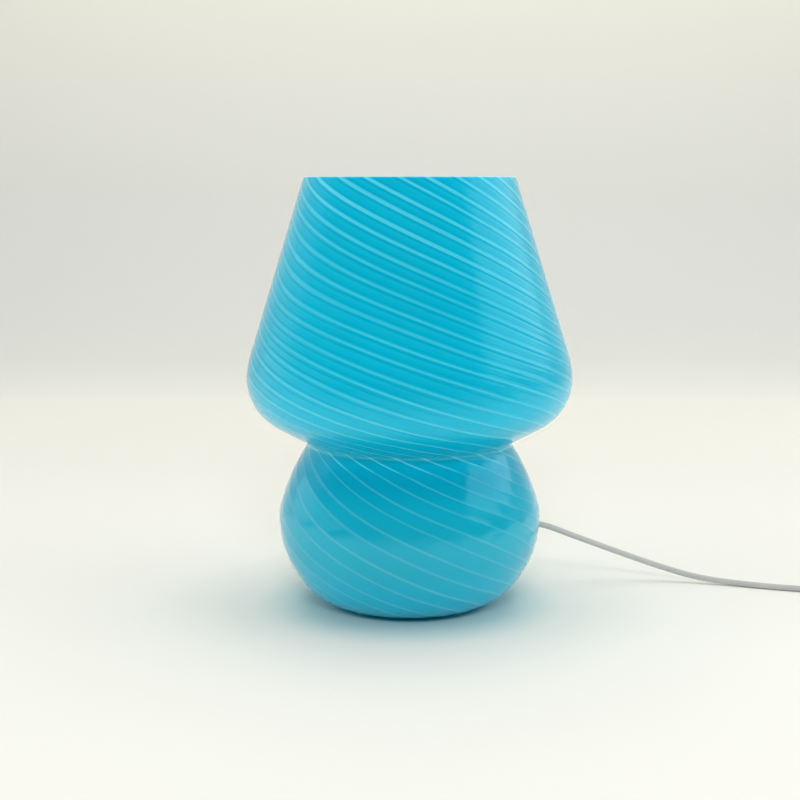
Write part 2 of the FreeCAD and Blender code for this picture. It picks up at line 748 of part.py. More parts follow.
cap = new_body("holder_cap", HOLDER_PLACE)
turned(cap, [("nipple_radius + thread_play", "0"), ("collar_radius", "0"), ("collar_radius", "collar_height"),
             ("holder_radius", SHOULDER_Z), ("holder_radius", "cap_rim_height"),
             (LAP_R, "cap_rim_height"), (LAP_R, "cap_rim_height - lap_height"),
             (INNER_R, "cap_rim_height - lap_height"), (INNER_R, SHOULDER_Z),
             ("collar_radius", "collar_height + holder_wall"), ("nipple_radius + thread_play", "collar_height + holder_wall")],
       {2: ("holder_radius - collar_radius", -1), 8: ("holder_radius - holder_wall - collar_radius", 1)})
lock_hole = new_sketch(cap, "YZ_Plane")
circle(lock_hole, "0", "collar_height / 2", "lock_screw_radius + thread_play")
feature(cap, "Pocket", lock_hole, Length="2 * collar_radius", Reversed=True)

lock_screw = new_body("holder_lock_screw", HOLDER_PLACE)
lock_end = new_sketch(lock_screw, "YZ_Plane", "nipple_radius + thread_play")
circle(lock_end, "0", "collar_height / 2", "lock_screw_radius")
feature(lock_screw, "Pad", lock_end, Length="lock_screw_length")
lock_slot = new_sketch(lock_screw, "YZ_Plane", "nipple_radius + thread_play + lock_screw_length")
rectangle(lock_slot, "-2 * lock_screw_radius", "2 * lock_screw_radius",
          "(collar_height - leaf_thickness) / 2", "(collar_height + leaf_thickness) / 2")
feature(lock_screw, "Pocket", lock_slot, Length="lock_screw_radius / 2")

shell = new_body("holder_shell", HOLDER_PLACE)
SPIGOT_R = f"{LAP_R} - holder_play"
turned(shell, [("holder_radius", "cap_rim_height"), ("holder_radius", "holder_height"),
               ("mouth_radius", "holder_height"), ("mouth_radius", "holder_height - mouth_depth"),
               ("sleeve_radius + holder_play", f"{INSERT_TOP} + sleeve_height + holder_play"),
               ("sleeve_radius + holder_play", f"{INSERT_TOP} + holder_play"),
               (f"{INNER_R} + holder_play", f"{INSERT_TOP} + holder_play"),
               (f"{INNER_R} + holder_play", "cap_rim_height - lap_height + holder_play"),
               (SPIGOT_R, "cap_rim_height - lap_height + holder_play"), (SPIGOT_R, "cap_rim_height")])

insert = new_body("holder_insert", HOLDER_PLACE)
pad_between(insert, lambda s: circle(s, "0", "0", f"{INNER_R} - holder_play"), "insert_base", INSERT_TOP)
pocket = cut_between(insert, lambda s: rectangle(
    s, "terminal_offset - terminal_width / 2 - terminal_play", "holder_radius",
    "-terminal_depth / 2 - terminal_play", "terminal_depth / 2 + terminal_play"),
    "insert_base", "insert_base + terminal_height + terminal_play")
mirrored(insert, [pocket], "YZ_Plane")

terminals = new_body("holder_terminals", HOLDER_PLACE, groups=True)
block = pad_between(terminals, lambda s: rectangle(
    s, "terminal_offset - terminal_width / 2", "terminal_offset + terminal_width / 2",
    "-terminal_depth / 2", "terminal_depth / 2"),
    "insert_base", "insert_base + terminal_height")
wire_hole = cut_between(terminals, lambda s: circle(s, "terminal_offset", "0", "wire_radius + cord_play"),
                        "insert_base", "insert_base + terminal_height * 0.6")
mirrored(terminals, [block, wire_hole], "YZ_Plane")
screw_holes = new_sketch(terminals, "YZ_Plane")
circle(screw_holes, "0", "insert_base + terminal_height / 2", "terminal_screw_radius + thread_play")
cut_through(terminals, screw_holes)

terminal_screws = new_body("holder_terminal_screws", HOLDER_PLACE, groups=True)
SCREW_Z = "insert_base + terminal_height / 2"
screw_shank = new_sketch(terminal_screws, "YZ_Plane", "terminal_offset + wire_radius + hole_play")
circle(screw_shank, "0", SCREW_Z, "terminal_screw_radius")
shank_pad = feature(terminal_screws, "Pad", screw_shank, Length="terminal_width / 2 - wire_radius - hole_play + cord_play")
screw_head = new_sketch(terminal_screws, "YZ_Plane", "terminal_offset + terminal_width / 2 + cord_play")
circle(screw_head, "0", SCREW_Z, "terminal_screw_radius * 1.6")
head_pad = feature(terminal_screws, "Pad", screw_head, Length="terminal_screw_radius")
mirrored(terminal_screws, [shank_pad, head_pad], "YZ_Plane")


# Threads: one knuckle ridge, swept at the bulb's pitch; the sleeve's groove is the same ridge with play

def knuckle(sketch, middle, play, inside):
    """A ridge of the bulb thread, or its groove, about one height, from inside the wall to the crest."""
    half = f"(thread_half_width + {play})"
    crest = f"(thread_crest + {play})"
    foot_radius = f"({inside})"
    outline(sketch, [(foot_radius, f"{middle} - {half}"), (f"thread_root + {play}", f"{middle} - {half}"),
                     (crest, f"{middle} - {half} / 2"), (crest, f"{middle} + {half} / 2"),
                     (f"thread_root + {play}", f"{middle} + {half}"), (foot_radius, f"{middle} + {half}")])


def helix(body, kind, sketch, turns):
    return feature(body, kind, sketch, ReferenceAxis=(sketch, ["V_Axis"]), Mode="pitch-height-angle",
                   Pitch="thread_pitch", Height=f"({turns}) * thread_pitch")


sleeve = new_body("screw_sleeve", HOLDER_PLACE)
SLEEVE_BORE = "thread_root + thread_clearance"
turned(sleeve, [(SLEEVE_BORE, INSERT_TOP), ("sleeve_radius", INSERT_TOP),
                ("sleeve_radius", f"{INSERT_TOP} + sleeve_height"), (SLEEVE_BORE, f"{INSERT_TOP} + sleeve_height")])
groove_sketch = new_sketch(sleeve)
knuckle(groove_sketch, "contact_height + thread_start - 4 * thread_pitch", "thread_clearance", "thread_root - 1")
doc.recompute()
helix(sleeve, "SubtractiveHelix", groove_sketch, "9")

leaf = new_body("centre_contact", HOLDER_PLACE)
leaf_sketch = new_sketch(leaf)
LEAF_TOP = "contact_height - contact_gap"
outline(leaf_sketch, [("-5", INSERT_TOP), ("-1.5", INSERT_TOP), ("1", f"{LEAF_TOP} - leaf_thickness"),
                      ("3.5", f"{LEAF_TOP} - leaf_thickness"), ("3.5", LEAF_TOP), ("0.8", LEAF_TOP),
                      ("-1.7", f"{INSERT_TOP} + leaf_thickness"), ("-5", f"{INSERT_TOP} + leaf_thickness")])
feature(leaf, "Pad", leaf_sketch, Length="leaf_width", SideType="Symmetric")


# Bulb, in a frame at its centre contact

BULB_PLACE = at(z=BULB_Z)
CAP_INSIDE = "(thread_root - cap_sheet)"
contact = new_body("bulb_contact", BULB_PLACE)
turned(contact, [("0", "0"), ("contact_radius - contact_length / 2", "0"),
                 ("contact_radius", "contact_length / 2"), ("contact_radius", "contact_length"),
                 ("0", "contact_length")])
insulator = new_body("bulb_insulator", BULB_PLACE)
turned(insulator, [("0", "contact_length"), ("contact_radius + 0.6", "contact_length"),
                   (f"{CAP_INSIDE} - holder_play", "cap_bottom - hole_play"),
                   (f"{CAP_INSIDE} - holder_play", "cap_bottom + insulator_depth"),
                   ("0", "cap_bottom + insulator_depth")])

bulb_cap = new_body("bulb_cap", BULB_PLACE)
turned(bulb_cap, [(CAP_INSIDE, "cap_bottom"), ("thread_root", "cap_bottom"), ("thread_root", "cap_height - 1"),
                  ("cap_flange_radius", "cap_height - 0.5"), ("cap_flange_radius", "cap_height"),
                  (CAP_INSIDE, "cap_height")])
ridge_sketch = new_sketch(bulb_cap)
knuckle(ridge_sketch, "thread_start", "0", "thread_root - cap_sheet / 2")
doc.recompute()
helix(bulb_cap, "AdditiveHelix", ridge_sketch, "thread_turns")

GLOBE_Z = "(bulb_length - globe_radius)"
HOUSING_TOP = f"({GLOBE_Z} - globe_seat)"
BOARD_UNDER = f"({HOUSING_TOP} - board_thickness)"
housing = new_body("bulb_housing", BULB_PLACE)
NECK_INSIDE = f"({CAP_INSIDE} - holder_play - housing_wall)"
turned(housing, [(f"{CAP_INSIDE} - holder_play", "cap_height - 8"), (f"{CAP_INSIDE} - holder_play", "cap_height + cord_play"),
                 ("cap_flange_radius + 0.4", "cap_height + cord_play"), ("cap_flange_radius + 0.8", "cap_height + 2.5"),
                 ("housing_radius", HOUSING_TOP),
                 ("board_radius + 1.6", HOUSING_TOP), ("board_radius + 1.6", BOARD_UNDER),
                 ("board_radius - 0.8", BOARD_UNDER),
                 ("cap_flange_radius - 1", "cap_height + 3.5"), (NECK_INSIDE, "cap_height + 1.5"),
                 (NECK_INSIDE, "cap_height - 8")],
       {3: ("housing_curve_radius", -1), 7: ("housing_curve_radius", 1)})

globe = new_body("bulb_globe", BULB_PLACE)
GLOBE_RIM = f"({HOUSING_TOP} + cord_play)"
INNER_GLOBE = "(globe_radius - globe_wall)"
turned(globe, [(f"sqrt({INNER_GLOBE} ^ 2 - ({GLOBE_Z} - {GLOBE_RIM}) ^ 2)", GLOBE_RIM),
               (f"sqrt(globe_radius ^ 2 - ({GLOBE_Z} - {GLOBE_RIM}) ^ 2)", GLOBE_RIM),
               ("globe_radius", GLOBE_Z), ("0", "bulb_length"), ("0", "bulb_length - globe_wall"),
               (INNER_GLOBE, GLOBE_Z)],
       {1: ("globe_radius", -1), 2: ("globe_radius", -1), 4: (INNER_GLOBE, 1), 5: (INNER_GLOBE, 1)})

led_board = new_body("led_board", BULB_PLACE)
pad_between(led_board, lambda s: circle(s, "0", "0", "board_radius"), BOARD_UNDER, HOUSING_TOP)
chips = new_body("led_chips", BULB_PLACE, groups=True)
chip = pad_between(chips, lambda s: rectangle(
    s, "chip_circle_radius - chip_width / 2", "chip_circle_radius + chip_width / 2",
    "-chip_length / 2", "chip_length / 2"), HOUSING_TOP, f"{HOUSING_TOP} + chip_height")
ring_of(chips, [chip], "chip_count")

DRIVER_TOP = f"({BOARD_UNDER} - driver_gap)"
driver = new_body("driver_board", BULB_PLACE)
driver_sketch = new_sketch(driver)
rectangle(driver_sketch, "-driver_width / 2", "driver_width / 2", "driver_bottom", DRIVER_TOP)
feature(driver, "Pad", driver_sketch, Length="board_thickness", SideType="Symmetric")
driver_parts = new_body("driver_parts", BULB_PLACE, groups=True)
pad_between(driver_parts, lambda s: circle(s, "0", "board_thickness / 2 + 3.6", "3.5"),
            "driver_bottom + 5", f"{DRIVER_TOP} - 1.5")
pad_between(driver_parts, lambda s: rectangle(s, "-3.5", "3.5", "-board_thickness / 2 - 5", "-board_thickness / 2"),
            "driver_bottom + 5", f"(driver_bottom + {DRIVER_TOP} + 5) / 2")


# Tubes: straight runs joined by tangent arcs, a round section swept along them

def route_wire(points):
    """The wire of a route. Each arc's radius follows from the shorter run beside it and the turn."""
    runs = [points[i + 1] - points[i] for i in range(len(points) - 1)]
    edges, start = [], points[0]
    for i in range(1, len(points) - 1):
        before, after = Vector(runs[i - 1]).normalize(), Vector(runs[i]).normalize()
        turn = before.getAngle(after)
        reach = 0.45 * min(runs[i - 1].Length, runs[i].Length)
        radius = reach / math.tan(turn / 2)
        entry, leave = points[i] - before * reach, points[i] + after * reach
        inward = (after - before).normalize()
        middle = points[i] + inward * (radius / math.cos(turn / 2) - radius)
        edges += [Part.LineSegment(start, entry).toShape(), Part.Arc(entry, middle, leave).toShape()]
        start = leave
    edges.append(Part.LineSegment(start, points[-1]).toShape())
    return Part.Wire(edges)


def tube(label, routes, radius):
    """One or more tubes in one node. Shapes are swept from points, so they are held as plain shapes."""
    solids = []
    for points in routes:
        wire = route_wire(points)
        section = Part.Wire(Part.makeCircle(value(radius), points[0], points[1] - points[0]))
        shell = Part.BRepOffsetAPI.MakePipeShell(wire)
        shell.add(section)
        shell.build()
        shell.makeSolid()
        solids.append(shell.shape())
    made = doc.addObject("Part::Feature", label)
    made.Label = label
    made.Shape = solids[0] if len(solids) == 1 else Part.makeCompound(solids)
    PARTS.append(made)
    return made


def in_frame(place, x, y, z):
    """A point of a piece's own frame, in the lamp's frame."""
    return place.multVec(Vector(x, y, z))


doc.recompute()
EXIT_FRAME = grommet.Placement
SWITCH_PLACE = at("switch_x", "switch_y", "0", "switch_yaw")
CORD_Z = value("base_height")
SWITCH_FRAME = Placement(Vector(value("switch_x"), value("switch_y"), 0), Rotation(value("switch_yaw"), 0, 0))
PLUG_Z = value("plug_thickness / 2")
PLUG_PLACE = at("plug_x", "plug_y", "plug_thickness / 2", "plug_yaw")
PLUG_FRAME = Placement(Vector(value("plug_x"), value("plug_y"), PLUG_Z), Rotation(value("plug_yaw"), 0, 0))
CORD_JOIN = 2.2
SHEATH_END_Z = value(HOLDER_Z) + 10
inner_end = in_frame(EXIT_FRAME, 0, 0, CORD_JOIN)

tube("inner_cord", [[inner_end, in_frame(EXIT_FRAME, 0, 0, -20), Vector(38, 12.2, 37.5), Vector(16, 5, 31),
                     Vector(2, 0.5, 43), Vector(0, 0, 62), Vector(0, 0, SHEATH_END_Z)]], "cord_radius")
wire_routes = []
for side in (-1, 1):
    wire_routes.append([Vector(side * x, 0, SHEATH_END_Z + z) for x, z in
                        ((0.85, 0.6), (2.5, 2.4), (6.2, 2.5), (7.5, 3.7), (7.5, 7.5))])
tube("holder_wires", wire_routes, "wire_radius")


# Switch case, in a frame on the floor under its middle, with the cord along X

CASE_INSIDE = ("case_length - 2 * case_wall", "case_width - 2 * case_wall", "case_corner - case_wall")
CASE_OUTSIDE = ("case_length", "case_width", "case_corner")


def corner_places():
    return [(f"{a} * case_screw_x", f"{b} * case_screw_y") for a in (-1, 1) for b in (-1, 1)]


def corner_circles(radius):
    def draw(sketch):
        for x, y in corner_places():
            circle(sketch, x, y, radius)
    return draw


def end_holes(body):
    """The half holes for the boots, in the end walls at the case's split."""
    sketch = new_sketch(body, "YZ_Plane")
    circle(sketch, "0", "base_height", "boot_hole_radius")
    cut_through(body, sketch)


def two_ends(draw_one):
    def draw(sketch):
        for side in (-1, 1):
            draw_one(sketch, side)
    return draw


base = new_body("switch_base", SWITCH_PLACE)
block = pad_between(base, lambda s: rounded_rectangle(s, *CASE_OUTSIDE), "0", "base_height")
dress(base, "Fillet", block, lambda e: e.BoundBox.ZMax < 0.01, Radius="case_edge")
cut_between(base, lambda s: rounded_rectangle(s, *CASE_INSIDE), "case_wall", "base_height")
end_holes(base)
pad_between(base, corner_circles("case_boss_radius"), "case_wall / 2", "base_height")
pad_between(base, two_ends(lambda s, side: rectangle(
    s, f"{side} * saddle_x - saddle_width / 2", f"{side} * saddle_x + saddle_width / 2",
    "-saddle_half", "saddle_half")), "case_wall / 2", "base_height - cord_radius - cord_play")
cut_between(base, corner_circles("case_screw_radius + hole_play"), "0", "base_height")
cut_between(base, corner_circles("case_screw_head_radius + hole_play"), "0", "case_screw_recess")


def saddle_circles(radius):
    def draw(sketch):
        for a in (-1, 1):
            for b in (-1, 1):
                circle(sketch, f"{a} * saddle_x", f"{b} * saddle_screw_y", radius)
    return draw


cut_between(base, saddle_circles("saddle_screw_radius + cord_play"), "case_wall", "base_height")

cover = new_body("switch_cover", SWITCH_PLACE)
block = pad_between(cover, lambda s: rounded_rectangle(s, *CASE_OUTSIDE), "base_height", "case_height")
dress(cover, "Fillet", block, lambda e: e.BoundBox.ZMin > value("case_height") - 0.01, Radius="case_edge")
cut_between(cover, lambda s: rounded_rectangle(s, *CASE_INSIDE), "base_height", "case_height - case_wall")
end_holes(cover)
pad_between(cover, corner_circles("case_boss_radius"), "base_height", "case_height - case_wall / 2")
cut_between(cover, corner_circles("case_screw_radius + thread_play"), "base_height", "case_height - 2 * case_wall")
cut_between(cover, lambda s: rectangle(s, "-window_length / 2", "window_length / 2",
                                       "-window_width / 2", "window_width / 2"), "base_height", "case_height")
EAR_HALF = "(2 * pivot_radius)"


def ears(sketch):
    for side in (-1, 1):
        y = f"{side} * (window_width + ear_thickness) / 2"
        rectangle(sketch, f"-{EAR_HALF}", EAR_HALF, f"{y} - ear_thickness / 2", f"{y} + ear_thickness / 2")


pad_between(cover, ears, "pivot_height - 2 * pivot_radius", "case_height - case_wall / 2")
pivot_hole = new_sketch(cover)
circle(pivot_hole, "0", "pivot_height", "pivot_radius + pivot_play")
feature(cover, "Pocket", pivot_hole, Length="window_width + 2 * ear_thickness - pivot_play", SideType="Symmetric")

case_screws = new_body("switch_case_screws", SWITCH_PLACE, groups=True)
pad_between(case_screws, corner_circles("case_screw_head_radius"), "case_wall / 2", "case_screw_recess - cord_play")
pad_between(case_screws, corner_circles("case_screw_radius"), "case_wall", "case_height - 3 * case_wall")


# Boots round the cord in the case ends

boots = new_body("switch_boots", SWITCH_PLACE, groups=True)
WALL_IN, WALL_OUT = "(case_length / 2 - case_wall)", "(case_length / 2)"
BOOT_NECK = "(boot_hole_radius - boot_play)"


def boot_profile(side):
    steps = [(f"{WALL_IN} - boot_play - boot_flange", BORE), (f"{WALL_OUT} + boot_length", BORE),
             (f"{WALL_OUT} + boot_length", "boot_tip_radius"), (f"{WALL_OUT} + boot_play", "boot_flange_radius"),
             (f"{WALL_OUT} + boot_play", BOOT_NECK), (f"{WALL_IN} - boot_play", BOOT_NECK),
             (f"{WALL_IN} - boot_play", "boot_flange_radius"),
             (f"{WALL_IN} - boot_play - boot_flange", "boot_flange_radius")]
    return [(f"{side} * ({x})", f"base_height + {y}") for x, y in steps]


for side in (-1, 1):
    boot_sketch = new_sketch(boots)
    outline(boot_sketch, boot_profile(side))
    axis = boot_sketch.addGeometry(Part.LineSegment(Vector(-1, CORD_Z, 0), Vector(1, CORD_Z, 0)), True)
    boot_sketch.addConstraint(Sketcher.Constraint("Horizontal", axis))
    pin_point(boot_sketch, axis, 1, "-1", "base_height")
    dimension(boot_sketch, Sketcher.Constraint("DistanceX", axis, 1, axis, 2, 2), "2")
    feature(boots, "Revolution", boot_sketch, ReferenceAxis=(boot_sketch, ["Axis0"]))


# Saddles that hold the cord, with their screws

saddles = new_body("switch_saddles", SWITCH_PLACE, groups=True)
SADDLE_FOOT = "(base_height - cord_radius)"
for side in (-1, 1):
    saddle_sketch = new_sketch(saddles, "YZ_Plane", f"{side} * saddle_x - saddle_width / 2")
    outline(saddle_sketch, [("-saddle_half", SADDLE_FOOT), (f"-({BORE})", SADDLE_FOOT), (f"-({BORE})", "base_height"),
                            (BORE, "base_height"), (BORE, SADDLE_FOOT), ("saddle_half", SADDLE_FOOT),
                            ("saddle_half", f"{SADDLE_FOOT} + saddle_edge_height"),
                            ("saddle_shoulder", f"{SADDLE_FOOT} + saddle_top_height"),
                            ("-saddle_shoulder", f"{SADDLE_FOOT} + saddle_top_height"),
                            ("-saddle_half", f"{SADDLE_FOOT} + saddle_edge_height")])
    feature(saddles, "Pad", saddle_sketch, Length="saddle_width")
arch = new_sketch(saddles, "YZ_Plane")
circle(arch, "0", "base_height", BORE)
cut_through(saddles, arch)
cut_between(saddles, saddle_circles("saddle_screw_radius + cord_play"), "case_wall", "case_height")
saddle_screws = new_body("switch_saddle_screws", SWITCH_PLACE, groups=True)
SADDLE_HEAD = f"({SADDLE_FOOT} + saddle_top_height + cord_play)"
pad_between(saddle_screws, saddle_circles("saddle_screw_radius"), "2 * case_wall", SADDLE_HEAD)
pad_between(saddle_screws, saddle_circles("saddle_screw_radius * 1.4"), SADDLE_HEAD, f"{SADDLE_HEAD} + strap_sheet")


# Switch contacts: two straps on the live line, one bar for the neutral, each with its terminal blocks

BLOCK_TOP = "(case_wall + block_height)"


def block_box(x_side, y_side):
    x, y = f"{x_side} * block_offset", f"{y_side} * block_row"
    return (f"{x} - block_length / 2", f"{x} + block_length / 2", f"{y} - block_width / 2", f"{y} + block_width / 2")


def block_with_holes(body, x_side, y_side):
    pad_between(body, lambda s: rectangle(s, *block_box(x_side, y_side)), "case_wall", BLOCK_TOP)
    cut_between(body, lambda s: circle(s, f"{x_side} * block_offset", f"{y_side} * block_row",
                                       "block_screw_radius + thread_play"), "case_wall + block_height / 2", BLOCK_TOP)
    start = f"{x_side} * block_offset" if x_side > 0 else "-block_offset - block_length / 2"
    cut_between(body, lambda s: circle(s, f"{y_side} * block_row", "case_wall + block_height / 2",
                                       "wire_radius + cord_play"), start, f"{start} + block_length / 2", "YZ_Plane")


PIVOT_Z = "(bridge_top - bridge_sheet)"
contact_in = new_body("switch_contact_in", SWITCH_PLACE)
block_with_holes(contact_in, 1, 1)
pad_between(contact_in, lambda s: rectangle(s, "-strap_width / 2", "block_offset - block_length / 2 + 1",
                                            "block_row - strap_width", "block_row"),
            "case_wall", "case_wall + strap_sheet")
pad_between(contact_in, lambda s: rectangle(s, "-strap_width / 2", "strap_width / 2", "-strap_width", "block_row"),
            "case_wall", "case_wall + strap_sheet")
pad_between(contact_in, lambda s: rectangle(s, "-strap_sheet / 2", "strap_sheet / 2", "-strap_width", "strap_width"),
            "case_wall", f"{PIVOT_Z} - bridge_pivot_radius - pivot_play * 2")

contact_out = new_body("switch_contact_out", SWITCH_PLACE)
block_with_holes(contact_out, -1, 1)
pad_between(contact_out, lambda s: rectangle(s, "-block_offset + block_length / 2 - 1", "-button_offset",
                                             "block_row - strap_width", "block_row"),
            "case_wall", "case_wall + strap_sheet")
pad_between(contact_out, lambda s: rectangle(s, "-button_offset - strap_width / 2", "-button_offset + strap_width / 2",
                                             "-strap_width / 2", "block_row"),
            "case_wall", "case_wall + strap_sheet")
CLOSED_Z = f"({PIVOT_Z} - button_offset * sin(bridge_tilt) - button_height / cos(bridge_tilt) - pivot_play * 2)"
pad_between(contact_out, lambda s: circle(s, "-button_offset", "0", "button_radius"),
            "case_wall", f"{CLOSED_Z} - button_radius * tan(bridge_tilt)")

neutral = new_body("switch_neutral_bar", SWITCH_PLACE)
pad_between(neutral, lambda s: rectangle(s, "-block_offset", "block_offset", "-block_row - strap_width / 2",
                                         "-block_row + strap_width / 2"), "case_wall", "case_wall + strap_sheet")
for side in (-1, 1):
    block_with_holes(neutral, side, -1)

block_screws = new_body("switch_terminal_screws", SWITCH_PLACE, groups=True)


def block_circles(radius):
    def draw(sketch):
        for a in (-1, 1):
            for b in (-1, 1):
                circle(sketch, f"{a} * block_offset", f"{b} * block_row", radius)
    return draw


pad_between(block_screws, block_circles("block_screw_radius"),
            "case_wall + block_height / 2 + wire_radius + cord_play", f"{BLOCK_TOP} + cord_play")
pad_between(block_screws, block_circles("block_screw_head"), f"{BLOCK_TOP} + cord_play",
            f"{BLOCK_TOP} + block_screw_radius")
BLOCK_WIRE_Z = value("case_wall + block_height / 2")


def switch_wire(x_side, y_side):
    row, end = value("block_row"), value("sheath_end_x")
    block_end = value("block_offset + block_length / 2")
    places = [(end - 0.8, 0.85, CORD_Z), (end - 1.6, 2.6, CORD_Z - 0.5), (end - 1.5, row - 1, BLOCK_WIRE_Z + 1.1),
              (block_end + 0.8, row, BLOCK_WIRE_Z), (block_end - 2.6, row, BLOCK_WIRE_Z)]
    return [in_frame(SWITCH_FRAME, x_side * x, y_side * y, z) for x, y, z in places]


tube("switch_wires", [switch_wire(a, b) for a in (-1, 1) for b in (-1, 1)], "wire_radius")


# Rocker with its plunger and spring, and the see-saw bridge under it, each in a frame on its own pivot

ROCKER_PLACE = (f"{SWITCH_PLACE} * {at(z='pivot_height', pitch='-rocker_tilt')}")
rocker = new_body("switch_rocker", ROCKER_PLACE)
rocker_sketch = new_sketch(rocker)
outline(rocker_sketch, [("-rocker_length / 2", "rocker_peak"), ("0", "rocker_valley"), ("rocker_length / 2", "rocker_peak"),
                        ("rocker_length / 2", "pivot_radius - cord_play"), ("rocker_length / 5", "-1.5 * pivot_radius"),
                        ("-rocker_length / 5", "-1.5 * pivot_radius"), ("-rocker_length / 2", "pivot_radius - cord_play")],
        {0: ("rocker_length * 1.2", -1), 1: ("rocker_length * 1.2", -1)})
feature(rocker, "Pad", rocker_sketch, Length="rocker_width", SideType="Symmetric")
trunnions = new_sketch(rocker)
circle(trunnions, "0", "0", "pivot_radius")
feature(rocker, "Pad", trunnions, Length="window_width + 2 * ear_thickness - 4 * pivot_play", SideType="Symmetric")
pad_between(rocker, lambda s: circle(s, "0", "0", "plunger_guide_radius"), "-plunger_guide_reach", "0")
cut_between(rocker, lambda s: circle(s, "0", "0", "plunger_radius + pivot_play"), "-plunger_guide_reach", "plunger_bore_top")

plunger = new_body("switch_plunger", ROCKER_PLACE)
turned(plunger, [("0", "-plunger_reach"), ("plunger_radius", "plunger_radius - plunger_reach"),
                 ("plunger_radius", "-plunger_top"), ("0", "-plunger_top")],
       {0: ("plunger_radius", -1)})
spring = new_body("switch_spring", ROCKER_PLACE)
spring_sketch = new_sketch(spring)
circle(spring_sketch, "plunger_radius - 2 * spring_wire_radius", "-plunger_top + spring_wire_radius + cord_play",
       "spring_wire_radius")
doc.recompute()
feature(spring, "AdditiveHelix", spring_sketch, ReferenceAxis=(spring_sketch, ["V_Axis"]),
                        Mode="pitch-height-angle", Pitch="spring_pitch",
                        Height="plunger_top + plunger_bore_top - 2 * (spring_wire_radius + cord_play)")

BRIDGE_PLACE = f"{SWITCH_PLACE} * {at(z=PIVOT_Z, pitch='bridge_tilt')}"
bridge = new_body("switch_bridge", BRIDGE_PLACE)
pad_between(bridge, lambda s: rectangle(s, "-bridge_half", "bridge_half", "-bridge_width / 2", "bridge_width / 2"),
            "0", "bridge_sheet")
pad_between(bridge, lambda s: circle(s, "-button_offset", "0", "button_radius"), "-button_height", "bridge_sheet / 2")
pad_between(bridge, lambda s: circle(s, "0", "0", "bridge_pivot_radius"), "-bridge_width / 2", "bridge_width / 2",
            "XZ_Plane")


# Free cord, its coil and the tie round the coil

def exit_point(distance):
    return in_frame(EXIT_FRAME, 0, 0, distance)


tube("cord_to_switch", [[
    inner_end, exit_point(10), Vector(93.2, 29, 31.1), Vector(118, 35.6, 20.6), Vector(146, 39.5, 9.6),
    Vector(170, 34.5, 3.2), Vector(196, 25.6, 1.7), Vector(224, 15.6, 1.7), Vector(248, 8.6, 2.4),
    in_frame(SWITCH_FRAME, -50, 0, CORD_Z), in_frame(SWITCH_FRAME, -value("sheath_end_x"), 0, CORD_Z)]],
    "cord_radius")
COIL_Z = "(tie_thickness + tie_gap)"
ROW_Z = value(f"{COIL_Z} + cord_radius")
SECOND_ROW_Z = ROW_Z + 3.45
TURN_R = value("coil_outer_radius - cord_radius")
COIL_X, COIL_Y = value("coil_x"), value("coil_y")
tube("cord_to_coil", [[
    in_frame(SWITCH_FRAME, value("sheath_end_x"), 0, CORD_Z), in_frame(SWITCH_FRAME, 50, 0, CORD_Z),
    Vector(381, -17, 5.0), Vector(385.5, -32, 3.2), Vector(COIL_X + TURN_R + 1.6, COIL_Y + 17, ROW_Z + 0.05),
    Vector(COIL_X + TURN_R, COIL_Y, ROW_Z)]], "cord_radius")
tube("cord_to_plug", [[
    Vector(COIL_X, COIL_Y - TURN_R, SECOND_ROW_Z), Vector(COIL_X - 13, COIL_Y - TURN_R - 0.1, SECOND_ROW_Z),
    Vector(COIL_X - 24, COIL_Y - TURN_R + 0.6, SECOND_ROW_Z + 0.3), in_frame(PLUG_FRAME, -54, 0, 0),
    in_frame(PLUG_FRAME, -value("carrier_length + wire_space"), 0, 0)]], "cord_radius")

coil = new_body("cord_coil", at("coil_x", "coil_y", COIL_Z))
turned(coil, [("coil_inner_radius + coil_edge", "0"), ("coil_outer_radius - coil_edge", "0"),
              ("coil_outer_radius", "coil_edge"), ("coil_outer_radius", "coil_height - coil_edge"),
              ("coil_outer_radius - coil_edge", "coil_height"), ("coil_inner_radius + coil_edge", "coil_height"),
              ("coil_inner_radius", "coil_height - coil_edge"), ("coil_inner_radius", "coil_edge")],
       {1: ("coil_edge", -1), 3: ("coil_edge", -1), 5: ("coil_edge", -1), 7: ("coil_edge", -1)})

tie = new_body("cord_tie", at("coil_x", "coil_y", COIL_Z, "tie_azimuth"))
tie_sketch = new_sketch(tie)


def tie_loop(gap):
    """A loop round the coil's section, gap away from it, with round corners."""
    corner = f"(coil_edge + {gap})"
    x0 = f"sqrt(coil_inner_radius ^ 2 - tie_width ^ 2 / 4) - ({gap})"
    x1 = f"coil_outer_radius + {gap}"
    z0, z1 = f"-({gap})", f"coil_height + {gap}"
    points = [(f"{x0} + {corner}", z0), (f"{x1} - {corner}", z0), (x1, f"{z0} + {corner}"), (x1, f"{z1} - {corner}"),
              (f"{x1} - {corner}", z1), (f"{x0} + {corner}", z1), (x0, f"{z1} - {corner}"), (x0, f"{z0} + {corner}")]
    outline(tie_sketch, points, {i: (corner, -1) for i in (1, 3, 5, 7)})


tie_loop("tie_gap + tie_thickness")
tie_loop("tie_gap")
feature(tie, "Pad", tie_sketch, Length="tie_width", SideType="Symmetric")


# Plug, in a frame at the middle of its front face, with the pins along X

